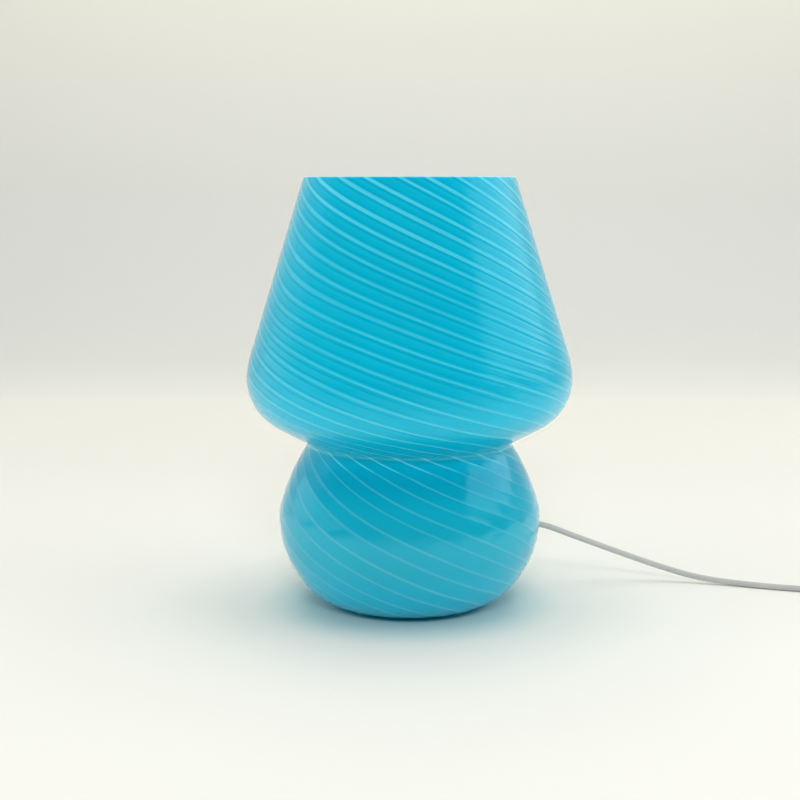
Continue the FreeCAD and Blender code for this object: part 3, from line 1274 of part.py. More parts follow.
PLUG_BACK = "(-plug_length)"
plug_body = new_body("plug_body", PLUG_PLACE)
plug_sketch = new_sketch(plug_body, "XY_Plane")
outline(plug_sketch, [("0", "-plug_width / 2"), ("0", "plug_width / 2"), ("-plug_shoulder", "plug_width / 2"),
                      (PLUG_BACK, "plug_neck_width / 2"), (PLUG_BACK, "-plug_neck_width / 2"),
                      ("-plug_shoulder", "-plug_width / 2")])
plug_block = feature(plug_body, "Pad", plug_sketch, Length="plug_thickness", SideType="Symmetric")
dress(plug_body, "Fillet", plug_block, lambda e: e.BoundBox.XMin < -0.01, Radius="plug_edge")
turned(plug_body, [(f"{PLUG_BACK} + plug_edge", "0"), (f"{PLUG_BACK} + plug_edge", "plug_tail_root"),
                   (PLUG_BACK, "plug_tail_root"), (f"{PLUG_BACK} - plug_tail_length", "plug_tail_tip"),
                   (f"{PLUG_BACK} - plug_tail_length", "0")], role="XY_Plane", axis="H_Axis")


def carrier_outline(extra):
    def draw(sketch):
        rounded_rectangle(sketch, f"carrier_width + {extra}", f"carrier_thickness + {extra}", "carrier_corner")
    return draw


cut_between(plug_body, carrier_outline("2 * plug_play"), "-carrier_length - wire_space", "0", "YZ_Plane")
cut_between(plug_body, lambda s: circle(s, "0", "0", BORE), f"{PLUG_BACK} - plug_tail_length",
            "-carrier_length - wire_space", "YZ_Plane")
carrier = new_body("plug_insert", PLUG_PLACE)
pad_between(carrier, carrier_outline("0"), "-carrier_length", "0", "YZ_Plane")


def pin_circles(radius):
    def draw(sketch):
        for side in (-1, 1):
            circle(sketch, f"{side} * pin_pitch / 2", "0", radius)
    return draw


cut_between(carrier, pin_circles("pin_shank_radius + plug_play"), "-carrier_length", "0", "YZ_Plane")
pins = new_body("plug_pins", PLUG_PLACE, groups=True)
pad_between(pins, pin_circles("pin_shank_radius"), "-carrier_length - 1", "sleeve_length", "YZ_Plane")
tips_pad = pad_between(pins, pin_circles("pin_radius"), "sleeve_length", "pin_length", "YZ_Plane")
dress(pins, "Fillet", tips_pad, lambda e: e.BoundBox.XMin > value("pin_length") - 0.01, Radius="pin_radius * 0.7")
sleeves = new_body("plug_sleeves", PLUG_PLACE, groups=True)
pad_between(sleeves, pin_circles("sleeve_outer_radius"), "plug_play", "sleeve_length - plug_play", "YZ_Plane")
cut_between(sleeves, pin_circles("pin_shank_radius + plug_play"), "plug_play", "sleeve_length - plug_play", "YZ_Plane")


def plug_wire(side):
    cord_end, pin_end = -value("carrier_length + wire_space"), -value("carrier_length + 1")
    row = value("pin_pitch / 2")
    places = [(cord_end + 0.75, 0.85), (cord_end + 1.7, 2.4), (cord_end + 2, row - 1.6), (pin_end - 1.4, row),
              (pin_end, row)]
    return [in_frame(PLUG_FRAME, x, side * y, 0) for x, y in places]


tube("plug_wires", [plug_wire(side) for side in (-1, 1)], "wire_radius")


# Check and write every piece

def check(part):
    """Stop at a piece that is in error, empty, not valid or not made of closed solids."""
    for item in [part] + list(getattr(part, "Group", [])):
        if {"Invalid", "Error"} & set(item.State):
            raise RuntimeError(f"{part.Label}: {item.Name} is {item.State}")
    shape = part.Shape
    if shape.isNull() or not shape.isValid() or not shape.Solids:
        raise RuntimeError(f"{part.Label}: no valid solid")


doc.recompute()
os.makedirs("parts", exist_ok=True)
for part in PARTS:
    check(part)
    part.Shape.exportStep(f"parts/{part.Label}.step")
print(len(PARTS), "pieces")
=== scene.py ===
"""Looks of a mushroom table lamp: striped blown glass, bulb on a neck bracket, cord with switch and plug."""

import functools
import math

import bmesh
import bpy
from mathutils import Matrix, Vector


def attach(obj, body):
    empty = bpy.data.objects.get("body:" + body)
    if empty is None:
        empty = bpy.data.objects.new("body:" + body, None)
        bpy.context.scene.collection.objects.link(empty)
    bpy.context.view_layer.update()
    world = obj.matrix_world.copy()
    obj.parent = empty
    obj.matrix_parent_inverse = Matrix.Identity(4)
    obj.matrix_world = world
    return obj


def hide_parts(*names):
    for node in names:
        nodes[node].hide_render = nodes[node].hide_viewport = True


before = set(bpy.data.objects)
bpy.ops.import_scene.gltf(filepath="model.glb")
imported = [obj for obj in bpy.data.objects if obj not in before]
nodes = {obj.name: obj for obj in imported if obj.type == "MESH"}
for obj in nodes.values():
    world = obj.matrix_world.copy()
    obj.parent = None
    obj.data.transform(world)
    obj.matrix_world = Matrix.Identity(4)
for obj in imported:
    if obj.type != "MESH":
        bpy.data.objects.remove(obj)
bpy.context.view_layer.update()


# Camera: almost level with the shade's top, looking slightly down, as the photograph was taken

# Tilt below level in degrees, lens and sensor in mm
CAMERA_PLACE = (0, -0.8098, 0.23395)
CAMERA_TILT = 8.38
CAMERA_LENS = 65.943
CAMERA_SENSOR = 36
CAMERA_SHIFT = -0.012

camera = bpy.data.objects.new("camera", bpy.data.cameras.new("camera"))
camera.location = CAMERA_PLACE
camera.rotation_euler = (math.radians(90 - CAMERA_TILT), 0, 0)
camera.data.lens = CAMERA_LENS
camera.data.sensor_width = CAMERA_SENSOR
camera.data.shift_x = CAMERA_SHIFT
bpy.context.scene.collection.objects.link(camera)
bpy.context.scene.camera = camera


# Cord: the seen run to the switch, then the coil put away beside it and the run to the plug

CORD_DIAMETER = 0.0034
TO_SWITCH = [(0.07083, 0.02302, 0.03911), (0.07813, 0.02539, 0.03774), (0.0932, 0.029, 0.0311),
             (0.118, 0.0356, 0.0206), (0.146, 0.0395, 0.0096), (0.170, 0.0345, 0.0032),
             (0.196, 0.0256, 0.0017), (0.224, 0.0156, 0.0017), (0.248, 0.0086, 0.0024),
             (0.26849, 0.00496, 0.0075), (0.29958, 0.00059, 0.0075)]
TO_COIL = [(0.33642, -0.00459, 0.0075), (0.36751, -0.00896, 0.0075), (0.381, -0.017, 0.005),
           (0.3855, -0.032, 0.0032), (0.3809, -0.049, 0.00275)]
TO_PLUG = [(0.343, -0.0894, 0.00615), (0.332, -0.0887, 0.00645), (0.322, -0.0876, 0.00685),
           (0.283, -0.0876, 0.00685)]
COIL_MIDDLE = Vector((0.356, -0.066, 0))
COLUMN_RADII = (0.0233, 0.0196, 0.0159)
LOWEST_ROW = 0.0027
ROW_STEP = 0.00345
# Each turn's seat in the coil, as its column from the outside and its row from the floor
TURN_SEATS = [(0, 0), (1, 0), (2, 0), (2, 1), (1, 1), (1, 2), (2, 2), (2, 3), (1, 3), (0, 3), (0, 2), (0, 1)]
TURN_DEGREES = 337.5
CROSSING_DEGREES = 30
POINTS_PER_TURN = 24


def coil_points():
    """The neat coil's turns, each in its seat, with a short crossing to the next seat at its end."""
    points = []
    steps = int(len(TURN_SEATS) * TURN_DEGREES / 360 * POINTS_PER_TURN)
    for i in range(steps + 1):
        turned = i / steps * len(TURN_SEATS) * TURN_DEGREES
        seat = min(int(turned / TURN_DEGREES), len(TURN_SEATS) - 1)
        into = turned - seat * TURN_DEGREES
        column, row = TURN_SEATS[seat]
        next_column, next_row = TURN_SEATS[min(seat + 1, len(TURN_SEATS) - 1)]
        cross = max(0.0, (into - TURN_DEGREES + CROSSING_DEGREES) / CROSSING_DEGREES)
        cross = cross * cross * (3 - 2 * cross)
        radius = COLUMN_RADII[column] + (COLUMN_RADII[next_column] - COLUMN_RADII[column]) * cross
        height = LOWEST_ROW + ROW_STEP * (row + (next_row - row) * cross)
        angle = -math.radians(turned)
        points.append(COIL_MIDDLE + Vector((radius * math.cos(angle), radius * math.sin(angle), height)))
    return points


def cord_run(name, points):
    """A round cord that follows one smooth spline."""
    curve = bpy.data.curves.new(name, "CURVE")
    curve.dimensions = "3D"
    spline = curve.splines.new("NURBS")
    spline.points.add(len(points) - 1)
    for point, place in zip(spline.points, points):
        point.co = (*place, 1)
        point.radius = CORD_DIAMETER / 2
    spline.order_u = 3
    spline.use_endpoint_u = True
    spline.resolution_u = 5
    curve.bevel_depth = 1
    curve.bevel_resolution = 4
    curve.use_fill_caps = True
    run = bpy.data.objects.new(name, curve)
    bpy.context.scene.collection.objects.link(run)
    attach(run, "lamp")
    return run


seen_cord = cord_run("cord_at_lamp", TO_SWITCH)
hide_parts("cord_to_switch")
put_away_cord = cord_run("cord_put_away", TO_COIL + coil_points() + TO_PLUG)
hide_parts("cord_to_coil", "cord_coil", "cord_to_plug")


# Small helpers for the finishes

def node_adder(tree):
    """A function that adds a node to the tree and sets each of its inputs to a value or to another output."""
    def add(kind, inputs=(), **settings):
        made = tree.nodes.new("ShaderNode" + kind)
        for key, setting in settings.items():
            setattr(made, key, setting)
        for socket, source in dict(inputs).items():
            if isinstance(source, bpy.types.NodeSocket):
                tree.links.new(source, made.inputs[socket])
            else:
                made.inputs[socket].default_value = source
        return made

    return add


def new_finish(name):
    """A material with its shader, a function that adds nodes, and one that wires them to the shader."""
    finish = bpy.data.materials.new(name)
    finish.use_nodes = True
    tree = finish.node_tree
    shader = tree.nodes["Principled BSDF"]

    def wire(source, socket):
        tree.links.new(source, shader.inputs[socket])

    return finish, shader, node_adder(tree), wire


def calc(add, operation, first, second=None, clamp=False):
    """One arithmetic node and its result."""
    inputs = {0: first} if second is None else {0: first, 1: second}
    return add("Math", inputs, operation=operation, use_clamp=clamp).outputs[0]


def ramp_between(add, source, low, high, from_value=0.0, to_value=1.0, smooth=False):
    """source's range low..high taken to from_value..to_value."""
    return add("MapRange", {"Value": source, "From Min": low, "From Max": high, "To Min": from_value,
                            "To Max": to_value},
               interpolation_type="SMOOTHSTEP" if smooth else "LINEAR").outputs[0]


def line_at(add, distance, half_width):
    """1 where distance is zero, fading to 0 at half_width on both sides."""
    return ramp_between(add, calc(add, "ABSOLUTE", distance), half_width, 0.0, smooth=True)


def two_tone(add, amount, first, second):
    """A mix of two colours."""
    return add("Mix", {"Factor": amount, "A": first, "B": second}, data_type="RGBA").outputs["Result"]


def through_stops(add, source, stops):
    """A colour that runs through stops, each a place between 0 and 1 and its colour."""
    made = add("ValToRGB", {0: source})
    elements = made.color_ramp.elements
    for element, (place, colour) in zip((elements[0], elements[-1]), (stops[0], stops[-1])):
        element.position = place
        element.color = colour
    for place, colour in stops[1:-1]:
        elements.new(place).color = colour
    return made.outputs[0]


def moulded(name, tint, shade, grain=900.0, roughness=(0.3, 0.45), bump=0.05, depth=0.0002, metallic=0.0,
            subsurface=0.0, wear=None):
    """A finish with slow colour drift, fine grain in gloss and relief, and wear where one is named."""
    finish, shader, add, wire = new_finish(name)
    place = add("TexCoord").outputs["Object"]
    drift = add("TexNoise", {"Vector": place, "Scale": 60.0, "Detail": 3.0}).outputs[0]
    fine = add("TexNoise", {"Vector": place, "Scale": grain, "Detail": 4.0, "Roughness": 0.6}).outputs[0]
    tone = two_tone(add, ramp_between(add, drift, 0.3, 0.7), (*shade, 1), (*tint, 1))
    if wear:
        edge = add("NewGeometry").outputs["Pointiness"]
        rubbed = calc(add, "MULTIPLY", ramp_between(add, edge, 0.52, 0.6), ramp_between(add, fine, 0.35, 0.6))
        tone = two_tone(add, rubbed, tone, (*wear, 1))
    wire(tone, "Base Color")
    wire(ramp_between(add, fine, 0.3, 0.7, *roughness), "Roughness")
    wire(add("Bump", {"Height": fine, "Strength": bump, "Distance": depth}).outputs[0], "Normal")
    shader.inputs["Metallic"].default_value = metallic
    shader.inputs["Subsurface Weight"].default_value = subsurface
    shader.inputs["Subsurface Scale"].default_value = 0.002
    return finish


# Finishes of the pieces other than the glass, by the record's slots

FINISH_OF_SLOT = {
    "zinc_steel": moulded(
        "zinc_plated_steel", tint=(0.62, 0.63, 0.65), shade=(0.48, 0.5, 0.53), grain=1400,
        roughness=(0.24, 0.42), metallic=1.0, bump=0.12, wear=(0.75, 0.76, 0.78)),
    "brass": moulded(
        "drawn_brass", tint=(0.74, 0.53, 0.24), shade=(0.62, 0.41, 0.17), grain=1600,
        roughness=(0.18, 0.34), metallic=1.0, bump=0.08, wear=(0.85, 0.68, 0.38)),
    "nickel": moulded(
        "nickel_plate", tint=(0.72, 0.7, 0.66), shade=(0.6, 0.58, 0.55), grain=2000,
        roughness=(0.12, 0.24), metallic=1.0, bump=0.04),
    "white_plastic": moulded(
        "glossy_white_plastic", tint=(0.83, 0.83, 0.82), shade=(0.78, 0.78, 0.76),
        roughness=(0.22, 0.32), bump=0.05, subsurface=0.1),
    "matt_white_plastic": moulded(
        "matt_white_plastic", tint=(0.82, 0.82, 0.8), shade=(0.76, 0.76, 0.74), grain=2600,
        roughness=(0.42, 0.58), bump=0.25, depth=0.0001),
    "dark_plastic": moulded(
        "dark_moulded_plastic", tint=(0.045, 0.046, 0.05), shade=(0.03, 0.03, 0.034), grain=1800,
        roughness=(0.35, 0.5), bump=0.15),
    "clear_silicone": moulded(
        "milky_silicone", tint=(0.78, 0.82, 0.84), shade=(0.66, 0.72, 0.75), grain=1200,
        roughness=(0.3, 0.42), bump=0.08, subsurface=0.6),
    "white_rubber": moulded(
        "soft_white_rubber", tint=(0.78, 0.78, 0.76), shade=(0.7, 0.7, 0.68), grain=2400,
        roughness=(0.5, 0.62), bump=0.15, subsurface=0.15),
    "opal_plastic": moulded(
        "opal_diffuser", tint=(0.88, 0.88, 0.86), shade=(0.84, 0.84, 0.81), grain=2200,
        roughness=(0.32, 0.42), bump=0.06, subsurface=0.8),
    "board": moulded(
        "board_laminate", tint=(0.72, 0.74, 0.7), shade=(0.6, 0.63, 0.58), grain=1500,
        roughness=(0.35, 0.5), bump=0.1),
    "chip": moulded(
        "phosphor_chip", tint=(0.86, 0.7, 0.22), shade=(0.8, 0.58, 0.14), grain=1800,
        roughness=(0.3, 0.4), bump=0.05),
    "wire": moulded(
        "wire_jacket", tint=(0.3, 0.13, 0.07), shade=(0.22, 0.09, 0.05), grain=1500,
        roughness=(0.35, 0.45), bump=0.05),
    "cord_white": moulded(
        "white_cord_jacket", tint=(0.53, 0.53, 0.52), shade=(0.47, 0.475, 0.47), grain=700,
        roughness=(0.3, 0.42), bump=0.12, depth=0.0003, subsurface=0.1),
}
for run in (seen_cord, put_away_cord):
    run.data.materials.append(FINISH_OF_SLOT["cord_white"])


# Blown glass, in mm

WALL = 3.0
LAMP_HEIGHT = 238.0
FOOT = Vector((41.1, 0, 1.2))
FOOT_LEAN = 13.0
# The section from the foot to the rim: bends (signed radius, turn in degrees), straight runs and a last rise
SECTION = [("bend", 34.0, 35.5), ("bend", 56.9, 41.5), ("bend", 29.5, 16.0), ("bend", 119.2, 15.9),
           ("run", 2.0, 0), ("bend", -2.7, 93.3), ("run", 18.75, 0), ("bend", 29.2, 69.95),
           ("bend", 68.5, 8.75), ("rise", LAMP_HEIGHT, 0)]
PUNT_EDGE = 30.5
PUNT_HEIGHT = 5.0
PUNT_BEND = (PUNT_EDGE ** 2 + PUNT_HEIGHT ** 2) / (2 * PUNT_HEIGHT)
FLOOR_THICKNESS = 3.6
RIM_BEVEL = 0.5
OUTER_SPACING = 1.25
INNER_SPACING = 3.6
COLUMNS = 276
METRES_PER_MM = 0.001

# Stripes: their number, where the first one crosses the neck in degrees from the front, the neck's place
# along the section, and degrees of twist for each mm above and below it
STRIPES = 23
FIRST_STRIPE = 10.0
NECK_ALONG = 110.0
TWIST_ABOVE = 1.81
TWIST_BELOW = 1.62
# Where the stripes leave the even winding, as smooth swells: the middle of each and its reach either way, as
# lengths along the section in mm, and its height in degrees. Lead turns a stripe all round, sway leans it
# from the left side to the right, and bow bends it on both sides alike.
LEAD_SWELLS = [(0, 25, -5), (62, 48, 7), (114, 18, -6.5)]
SWAY_SWELLS = [(18, 55, 10.5), (90, 28, -6.5), (155, 35, 3), (245, 45, -3)]
BOW_SWELLS = [(12, 30, 11), (53, 24, -6), (122, 48, 15), (208, 62, -19), (270, 45, -9)]
# Ribs, in mm: crest above groove, the height over which they fade below the rim, and the height up to which
# they are deeper at the foot
RIB_HEIGHT = 0.16
RIM_FADE = 4
FOOT_SCALLOP = 12


def trace_section(bm, along, skin, inset, spacing):
    """One wall of the glass, as a chain of vertices from its foot to its rim. Returns its first vertex."""
    lean = math.radians(FOOT_LEAN)
    foot = bm.verts.new(FOOT + Vector((-math.sin(lean), 0, math.cos(lean))) * inset)
    tip = foot
    travelled = 0.0
    on_skin = 1.0 if inset == 0 else 0.0
    foot[skin] = on_skin
    for kind, size, turn in SECTION:
        heading = Vector((math.cos(lean), 0, math.sin(lean)))
        if kind == "bend":
            length = abs(size) * math.radians(turn)
            steps = max(6, round(length / spacing))
            centre = tip.co + Vector((-heading.z, 0, heading.x)) * (size - inset)
            swing = math.copysign(math.radians(turn), size)
            bmesh.ops.spin(bm, geom=[tip], cent=centre, axis=(0, -1, 0), steps=steps, angle=swing)
            lean += swing
        else:
            length = size if kind == "run" else (size - tip.co.z) / heading.z
            steps = max(2, round(length / spacing))
            last = tip
            for _ in range(steps):
                last = bmesh.ops.extrude_vert_indiv(bm, verts=[last])["verts"][0]
                bmesh.ops.translate(bm, verts=[last], vec=heading * (length / steps))
        bm.verts.ensure_lookup_table()
        for i, vert in enumerate(bm.verts[-steps:]):
            vert[along] = travelled + length * (i + 1) / steps
            vert[skin] = on_skin
        travelled += length
        tip = bm.verts[-1]
    return foot


def lay_floor(bm, foot, edge_height):
    """The ring under or over the foot, and the shallow dome in its middle, out from a wall's first vertex."""
    edge = bmesh.ops.extrude_vert_indiv(bm, verts=[foot])["verts"][0]
    edge.co = Vector((PUNT_EDGE, 0, edge_height))
    bmesh.ops.spin(bm, geom=[edge], cent=(0, 0, edge_height + PUNT_HEIGHT - PUNT_BEND), axis=(0, -1, 0),
                   steps=12, angle=math.asin(PUNT_EDGE / PUNT_BEND))


def spin_walls(bm, along, skin):
    """Both walls and floors, joined at the rim, spun round the axis, with a rounded rim."""
    outer_foot = trace_section(bm, along, skin, 0.0, OUTER_SPACING)
    outer_rim = bm.verts[-1]
    inner_foot = trace_section(bm, along, skin, WALL, INNER_SPACING)
    inner_rim = bm.verts[-1]
    bm.edges.new((outer_rim, inner_rim))
    lay_floor(bm, outer_foot, FOOT.z)
    lay_floor(bm, inner_foot, FOOT.z + FLOOR_THICKNESS)
    bmesh.ops.spin(bm, geom=bm.verts[:] + bm.edges[:], cent=(0, 0, 0), axis=(0, 0, 1), angle=math.tau,
                   steps=COLUMNS, use_merge=True)
    bmesh.ops.remove_doubles(bm, verts=bm.verts, dist=0.001)
    bmesh.ops.recalc_face_normals(bm, faces=bm.faces)
    rim_edges = [e for e in bm.edges if all(abs(v.co.z - LAMP_HEIGHT) < 0.01 for v in e.verts)
                 and abs(e.verts[0].co.xy.length - e.verts[1].co.xy.length) < 0.01]
    bmesh.ops.bevel(bm, geom=rim_edges, offset=RIM_BEVEL, offset_type="OFFSET", segments=3, profile=0.5,
                    affect="EDGES", material=-1)
    bm.normal_update()


def swelling(swells, along):
    """The sum of the swells at a length along the section."""
    return sum(height * math.cos(math.pi / 2 * min(1.0, abs(along - middle) / reach)) ** 2
               for middle, reach, height in swells)


@functools.cache
def winding(along):
    """Degrees that the stripes have wound at a length along the section, and the sway and the bow there."""
    twist = (along - NECK_ALONG) * (TWIST_ABOVE if along > NECK_ALONG else TWIST_BELOW)
    return twist - swelling(LEAD_SWELLS, along), swelling(SWAY_SWELLS, along), swelling(BOW_SWELLS, along)


def stripe_count(along, around):
    """Position round the glass in stripes: a whole number is the middle of a stripe."""
    wound, sway, bow = winding(round(along, 3))
    side = math.sin(math.radians(around + 90))
    return (around + 90 - FIRST_STRIPE + wound - sway * side - bow * side ** 2 / 2) / 360 * STRIPES


def raise_ribs(bm, along, skin):
    """A shallow rib in the outer wall under each stripe. They fade below the rim and deepen at the foot."""
    lifts = []
    for vert in bm.verts:
        if vert[skin] > 0.5 and vert.co.z < LAMP_HEIGHT - 1:
            across = stripe_count(vert[along], math.degrees(math.atan2(vert.co.y, vert.co.x)))
            off = abs(across - round(across)) * 2
            depth = min(1.0, (LAMP_HEIGHT - vert.co.z) / RIM_FADE) + max(0.0, 1 - vert.co.z / FOOT_SCALLOP)
            lifts.append((vert, vert.normal * (RIB_HEIGHT * depth * ((1 - off) ** 2 - 0.5))))
    for vert, lift in lifts:
        vert.co += lift


def unwrap_by_stripes(bm, along):
    """A UV map with the stripes' count across it and the length along the section, in 100 mm, up it."""
    unwrap = bm.loops.layers.uv.new("UVMap")
    for face in bm.faces:
        middle = face.calc_center_median()
        facing = math.atan2(middle.y, middle.x)
        for loop in face.loops:
            place = loop.vert.co
            around = facing
            if place.xy.length > 0.01:
                around = math.atan2(place.y, place.x)
                around += math.tau * round((facing - around) / math.tau)
            count = stripe_count(loop.vert[along], math.degrees(around))
            loop[unwrap].uv = (count / STRIPES, loop.vert[along] / 100)
        face.smooth = True


def blown_glass():
    """The hollow glass body with its shallow ribs, one under each stripe."""
    bm = bmesh.new()
    along = bm.verts.layers.float.new("along")
    skin = bm.verts.layers.float.new("skin")
    spin_walls(bm, along, skin)
    raise_ribs(bm, along, skin)
    unwrap_by_stripes(bm, along)
    bmesh.ops.scale(bm, verts=bm.verts, vec=(METRES_PER_MM, METRES_PER_MM, METRES_PER_MM))
    mesh = bpy.data.meshes.new("striped_glass")
    bm.to_mesh(mesh)
    bm.free()
    body = bpy.data.objects.new("striped_glass", mesh)
    bpy.context.scene.collection.objects.link(body)
    return body


# Glass finish: colours, and places along the section in 100 mm, as the UV map has them

BODY = (0.0004, 0.45, 0.65, 1)
BODY_DRIFT = (0.0006, 0.485, 0.69, 1)
# Painted sheen midway between stripes, where the crest of each rib would catch the light
PAINTED_SHEEN_BETWEEN_STRIPES = (0.04, 0.62, 0.78, 1)
# Painted shade in the grooves close beside each stripe
PAINTED_SHADE_BESIDE_STRIPES = (0.0004, 0.34, 0.54, 1)
# The bowl's own greyer glass, darkened with painted shade where the shade overhangs it
BOWL_GREY_AND_SHADOWED = (0.008, 0.4, 0.555, 1)
# Painted light: the foot brighter, as if lit by the floor's bounce
FOOT_BOUNCE_LIGHT = (0.002, 0.49, 0.71, 1)
# Painted light: the shade's underside brighter, as if lit by the floor and by light through the glass
UNDERSIDE_PAINTED_GLOW = (0.0004, 0.51, 0.74, 1)
# Painted shadow at the top of the bowl, where the shade overhangs it
BOWL_TOP_SHADOW = (0.0003, 0.32, 0.49, 1)
STRIPE_ON_BOWL = (0.3, 0.66, 0.78, 1)
STRIPE_ON_SHADE = (0.13, 0.7, 0.86, 1)
GROUND_RIM = (0.5, 0.82, 0.86, 1)
SPECULAR_TINT = (0.48, 0.97, 1.0, 1)
FOLD_ALONG = 1.09
TOP_ALONG = 2.75
# How strongly the stripes show, from the foot to the rim, where the jump to full strength at the top of the
# bowl, just below the fold, is a painted glint: parts of TOP_ALONG and levels
STRIPE_LEVELS_AND_NECK_GLINT = [(0, 0.22), (0.05, 0.55), (0.14, 0.3), (0.28, 0.22), (0.362, 0.25), (0.374, 1.0), (0.5, 0.9),
                 (0.62, 0.55), (0.75, 0.42), (0.9, 0.75), (1, 1.0)]
RIM_STARTS = 0.23745
RIM_FULL = 0.23785


def stripe_paths(add):
    """Where the stripes run. Returns the length along the section, the distance off the nearest stripe's
    middle in stripes, that stripe's number, and three chance values that belong to it."""
    unwrap = add("SeparateXYZ", {0: add("UVMap", uv_map="UVMap").outputs[0]})
    count = calc(add, "MULTIPLY", unwrap.outputs[0], float(STRIPES))
    along = unwrap.outputs[1]
    nearest = calc(add, "ROUND", count)
    number = calc(add, "FLOORED_MODULO", nearest, float(STRIPES))
    chance = add("TexWhiteNoise", {"W": number}, noise_dimensions="1D").outputs["Color"]
    luck = add("SeparateColor", {0: chance}).outputs
    sway_place = add("CombineXYZ", {0: along, 1: number}).outputs[0]
    sway = add("TexNoise", {"Vector": sway_place, "Scale": 1.6, "Detail": 2.0}).outputs[0]
    off = calc(add, "SUBTRACT", count, nearest)
    off = calc(add, "ADD", off, ramp_between(add, luck[0], 0, 1, -0.06, 0.06))
    off = calc(add, "ADD", off, ramp_between(add, sway, 0.2, 0.8, -0.05, 0.05))
    return along, off, number, luck


def stripe_shape(add, along, off, luck):
    """1 inside each stripe and 0 outside, with a soft edge. Stripes widen towards the rim."""
    width = calc(add, "MULTIPLY", ramp_between(add, luck[1], 0, 1, 0.75, 1.2),
                 ramp_between(add, along, 1.2, 2.3, 0.062, 0.105))
    softness = ramp_between(add, along, 1.2, 2.1, 0.035, 0.045)
    outer = calc(add, "ADD", width, softness)
    inner = calc(add, "SUBTRACT", width, softness)
    return ramp_between(add, calc(add, "ABSOLUTE", off), outer, inner, smooth=True)


def stripe_amount(add, along, off, number, luck, stripe):
    """How much of the pale colour a point takes: less where the stripe is faint or streaked."""
    levels = [(place, (level, level, level, 1)) for place, level in STRIPE_LEVELS_AND_NECK_GLINT]
    strength = through_stops(add, ramp_between(add, along, 0.0, TOP_ALONG), levels)
    across = calc(add, "MULTIPLY", off, 3.0)
    up = calc(add, "MULTIPLY", along, 0.6)
    streak_place = add("CombineXYZ", {0: across, 1: up, 2: number}).outputs[0]
    streaks = add("TexNoise", {"Vector": streak_place, "Scale": 6.0, "Detail": 4.0}).outputs[0]
    amount = calc(add, "MULTIPLY", stripe, strength)
    amount = calc(add, "MULTIPLY", amount, ramp_between(add, luck[2], 0, 1, 0.7, 1.0))
    return calc(add, "MULTIPLY", amount, ramp_between(add, streaks, 0.3, 0.65, 0.6, 1.0), clamp=True)


def groove_and_between(add, along, off):
    """The grooves close beside each stripe, which take a painted shade, and a slight hump midway between two
    stripes on the shade, which takes a painted sheen.
    """
    before = line_at(add, calc(add, "ADD", off, 0.22), 0.1)
    after = line_at(add, calc(add, "SUBTRACT", off, 0.25), 0.13)
    groove = calc(add, "MAXIMUM", before, calc(add, "MULTIPLY", after, 0.8))
    groove = calc(add, "MULTIPLY", groove, ramp_between(add, along, 1.05, 1.2, 0.25, 1.0, smooth=True))
    midway = calc(add, "SUBTRACT", calc(add, "FLOORED_MODULO", calc(add, "ADD", off, 0.9), 1.0), 0.5)
    on_shade = ramp_between(add, along, 1.2, 1.7, smooth=True)
    return groove, calc(add, "MULTIPLY", line_at(add, midway, 0.16), on_shade)


def body_colour(add, place, along, groove, between):
    """Cyan that drifts slowly, with a painted sheen midway between stripes and painted shade in the grooves
    beside them: greyer on the bowl and darker there with painted shade, deeper at its top with painted shadow
    under the shade, brighter with painted bounce light at the foot and on the underside.
    """
    drift = add("TexNoise", {"Vector": place, "Scale": 14.0, "Detail": 2.0}).outputs[0]
    body = two_tone(add, ramp_between(add, drift, 0.3, 0.7), BODY, BODY_DRIFT)
    body = two_tone(add, calc(add, "MULTIPLY", between, 0.12), body, PAINTED_SHEEN_BETWEEN_STRIPES)
    body = two_tone(add, calc(add, "MULTIPLY", groove, 0.45), body, PAINTED_SHADE_BESIDE_STRIPES)
    body = two_tone(add, ramp_between(add, along, 0.7, 0.95, 0.75, 0.0, smooth=True), body, BOWL_GREY_AND_SHADOWED)
    body = two_tone(add, ramp_between(add, along, 0.2, 0.5, 1.0, 0.0, smooth=True), body, FOOT_BOUNCE_LIGHT)
    body = two_tone(add, line_at(add, calc(add, "SUBTRACT", along, 1.4), 0.3), body, UNDERSIDE_PAINTED_GLOW)
    shadow_under_shade = line_at(add, calc(add, "SUBTRACT", along, 0.93), 0.18)
    return two_tone(add, calc(add, "MULTIPLY", shadow_under_shade, 0.6), body, BOWL_TOP_SHADOW)


def glass_roughness(add, along, rim):
    """Glossy all over, duller in the fold of the neck, at the foot and on the ground rim."""
    gloss = ramp_between(add, along, 0.9, 1.4, 0.12, 0.17, smooth=True)
    from_fold = calc(add, "ABSOLUTE", calc(add, "SUBTRACT", along, FOLD_ALONG))
    fold = ramp_between(add, from_fold, 0.005, 0.03, 0.3, 0.0, smooth=True)
    foot = ramp_between(add, along, 0.1, 0.4, 0.3, 0.0, smooth=True)
    dull = calc(add, "MAXIMUM", calc(add, "MAXIMUM", fold, foot), ramp_between(add, rim, 0, 1, 0.0, 0.5))
    return calc(add, "MAXIMUM", gloss, dull)


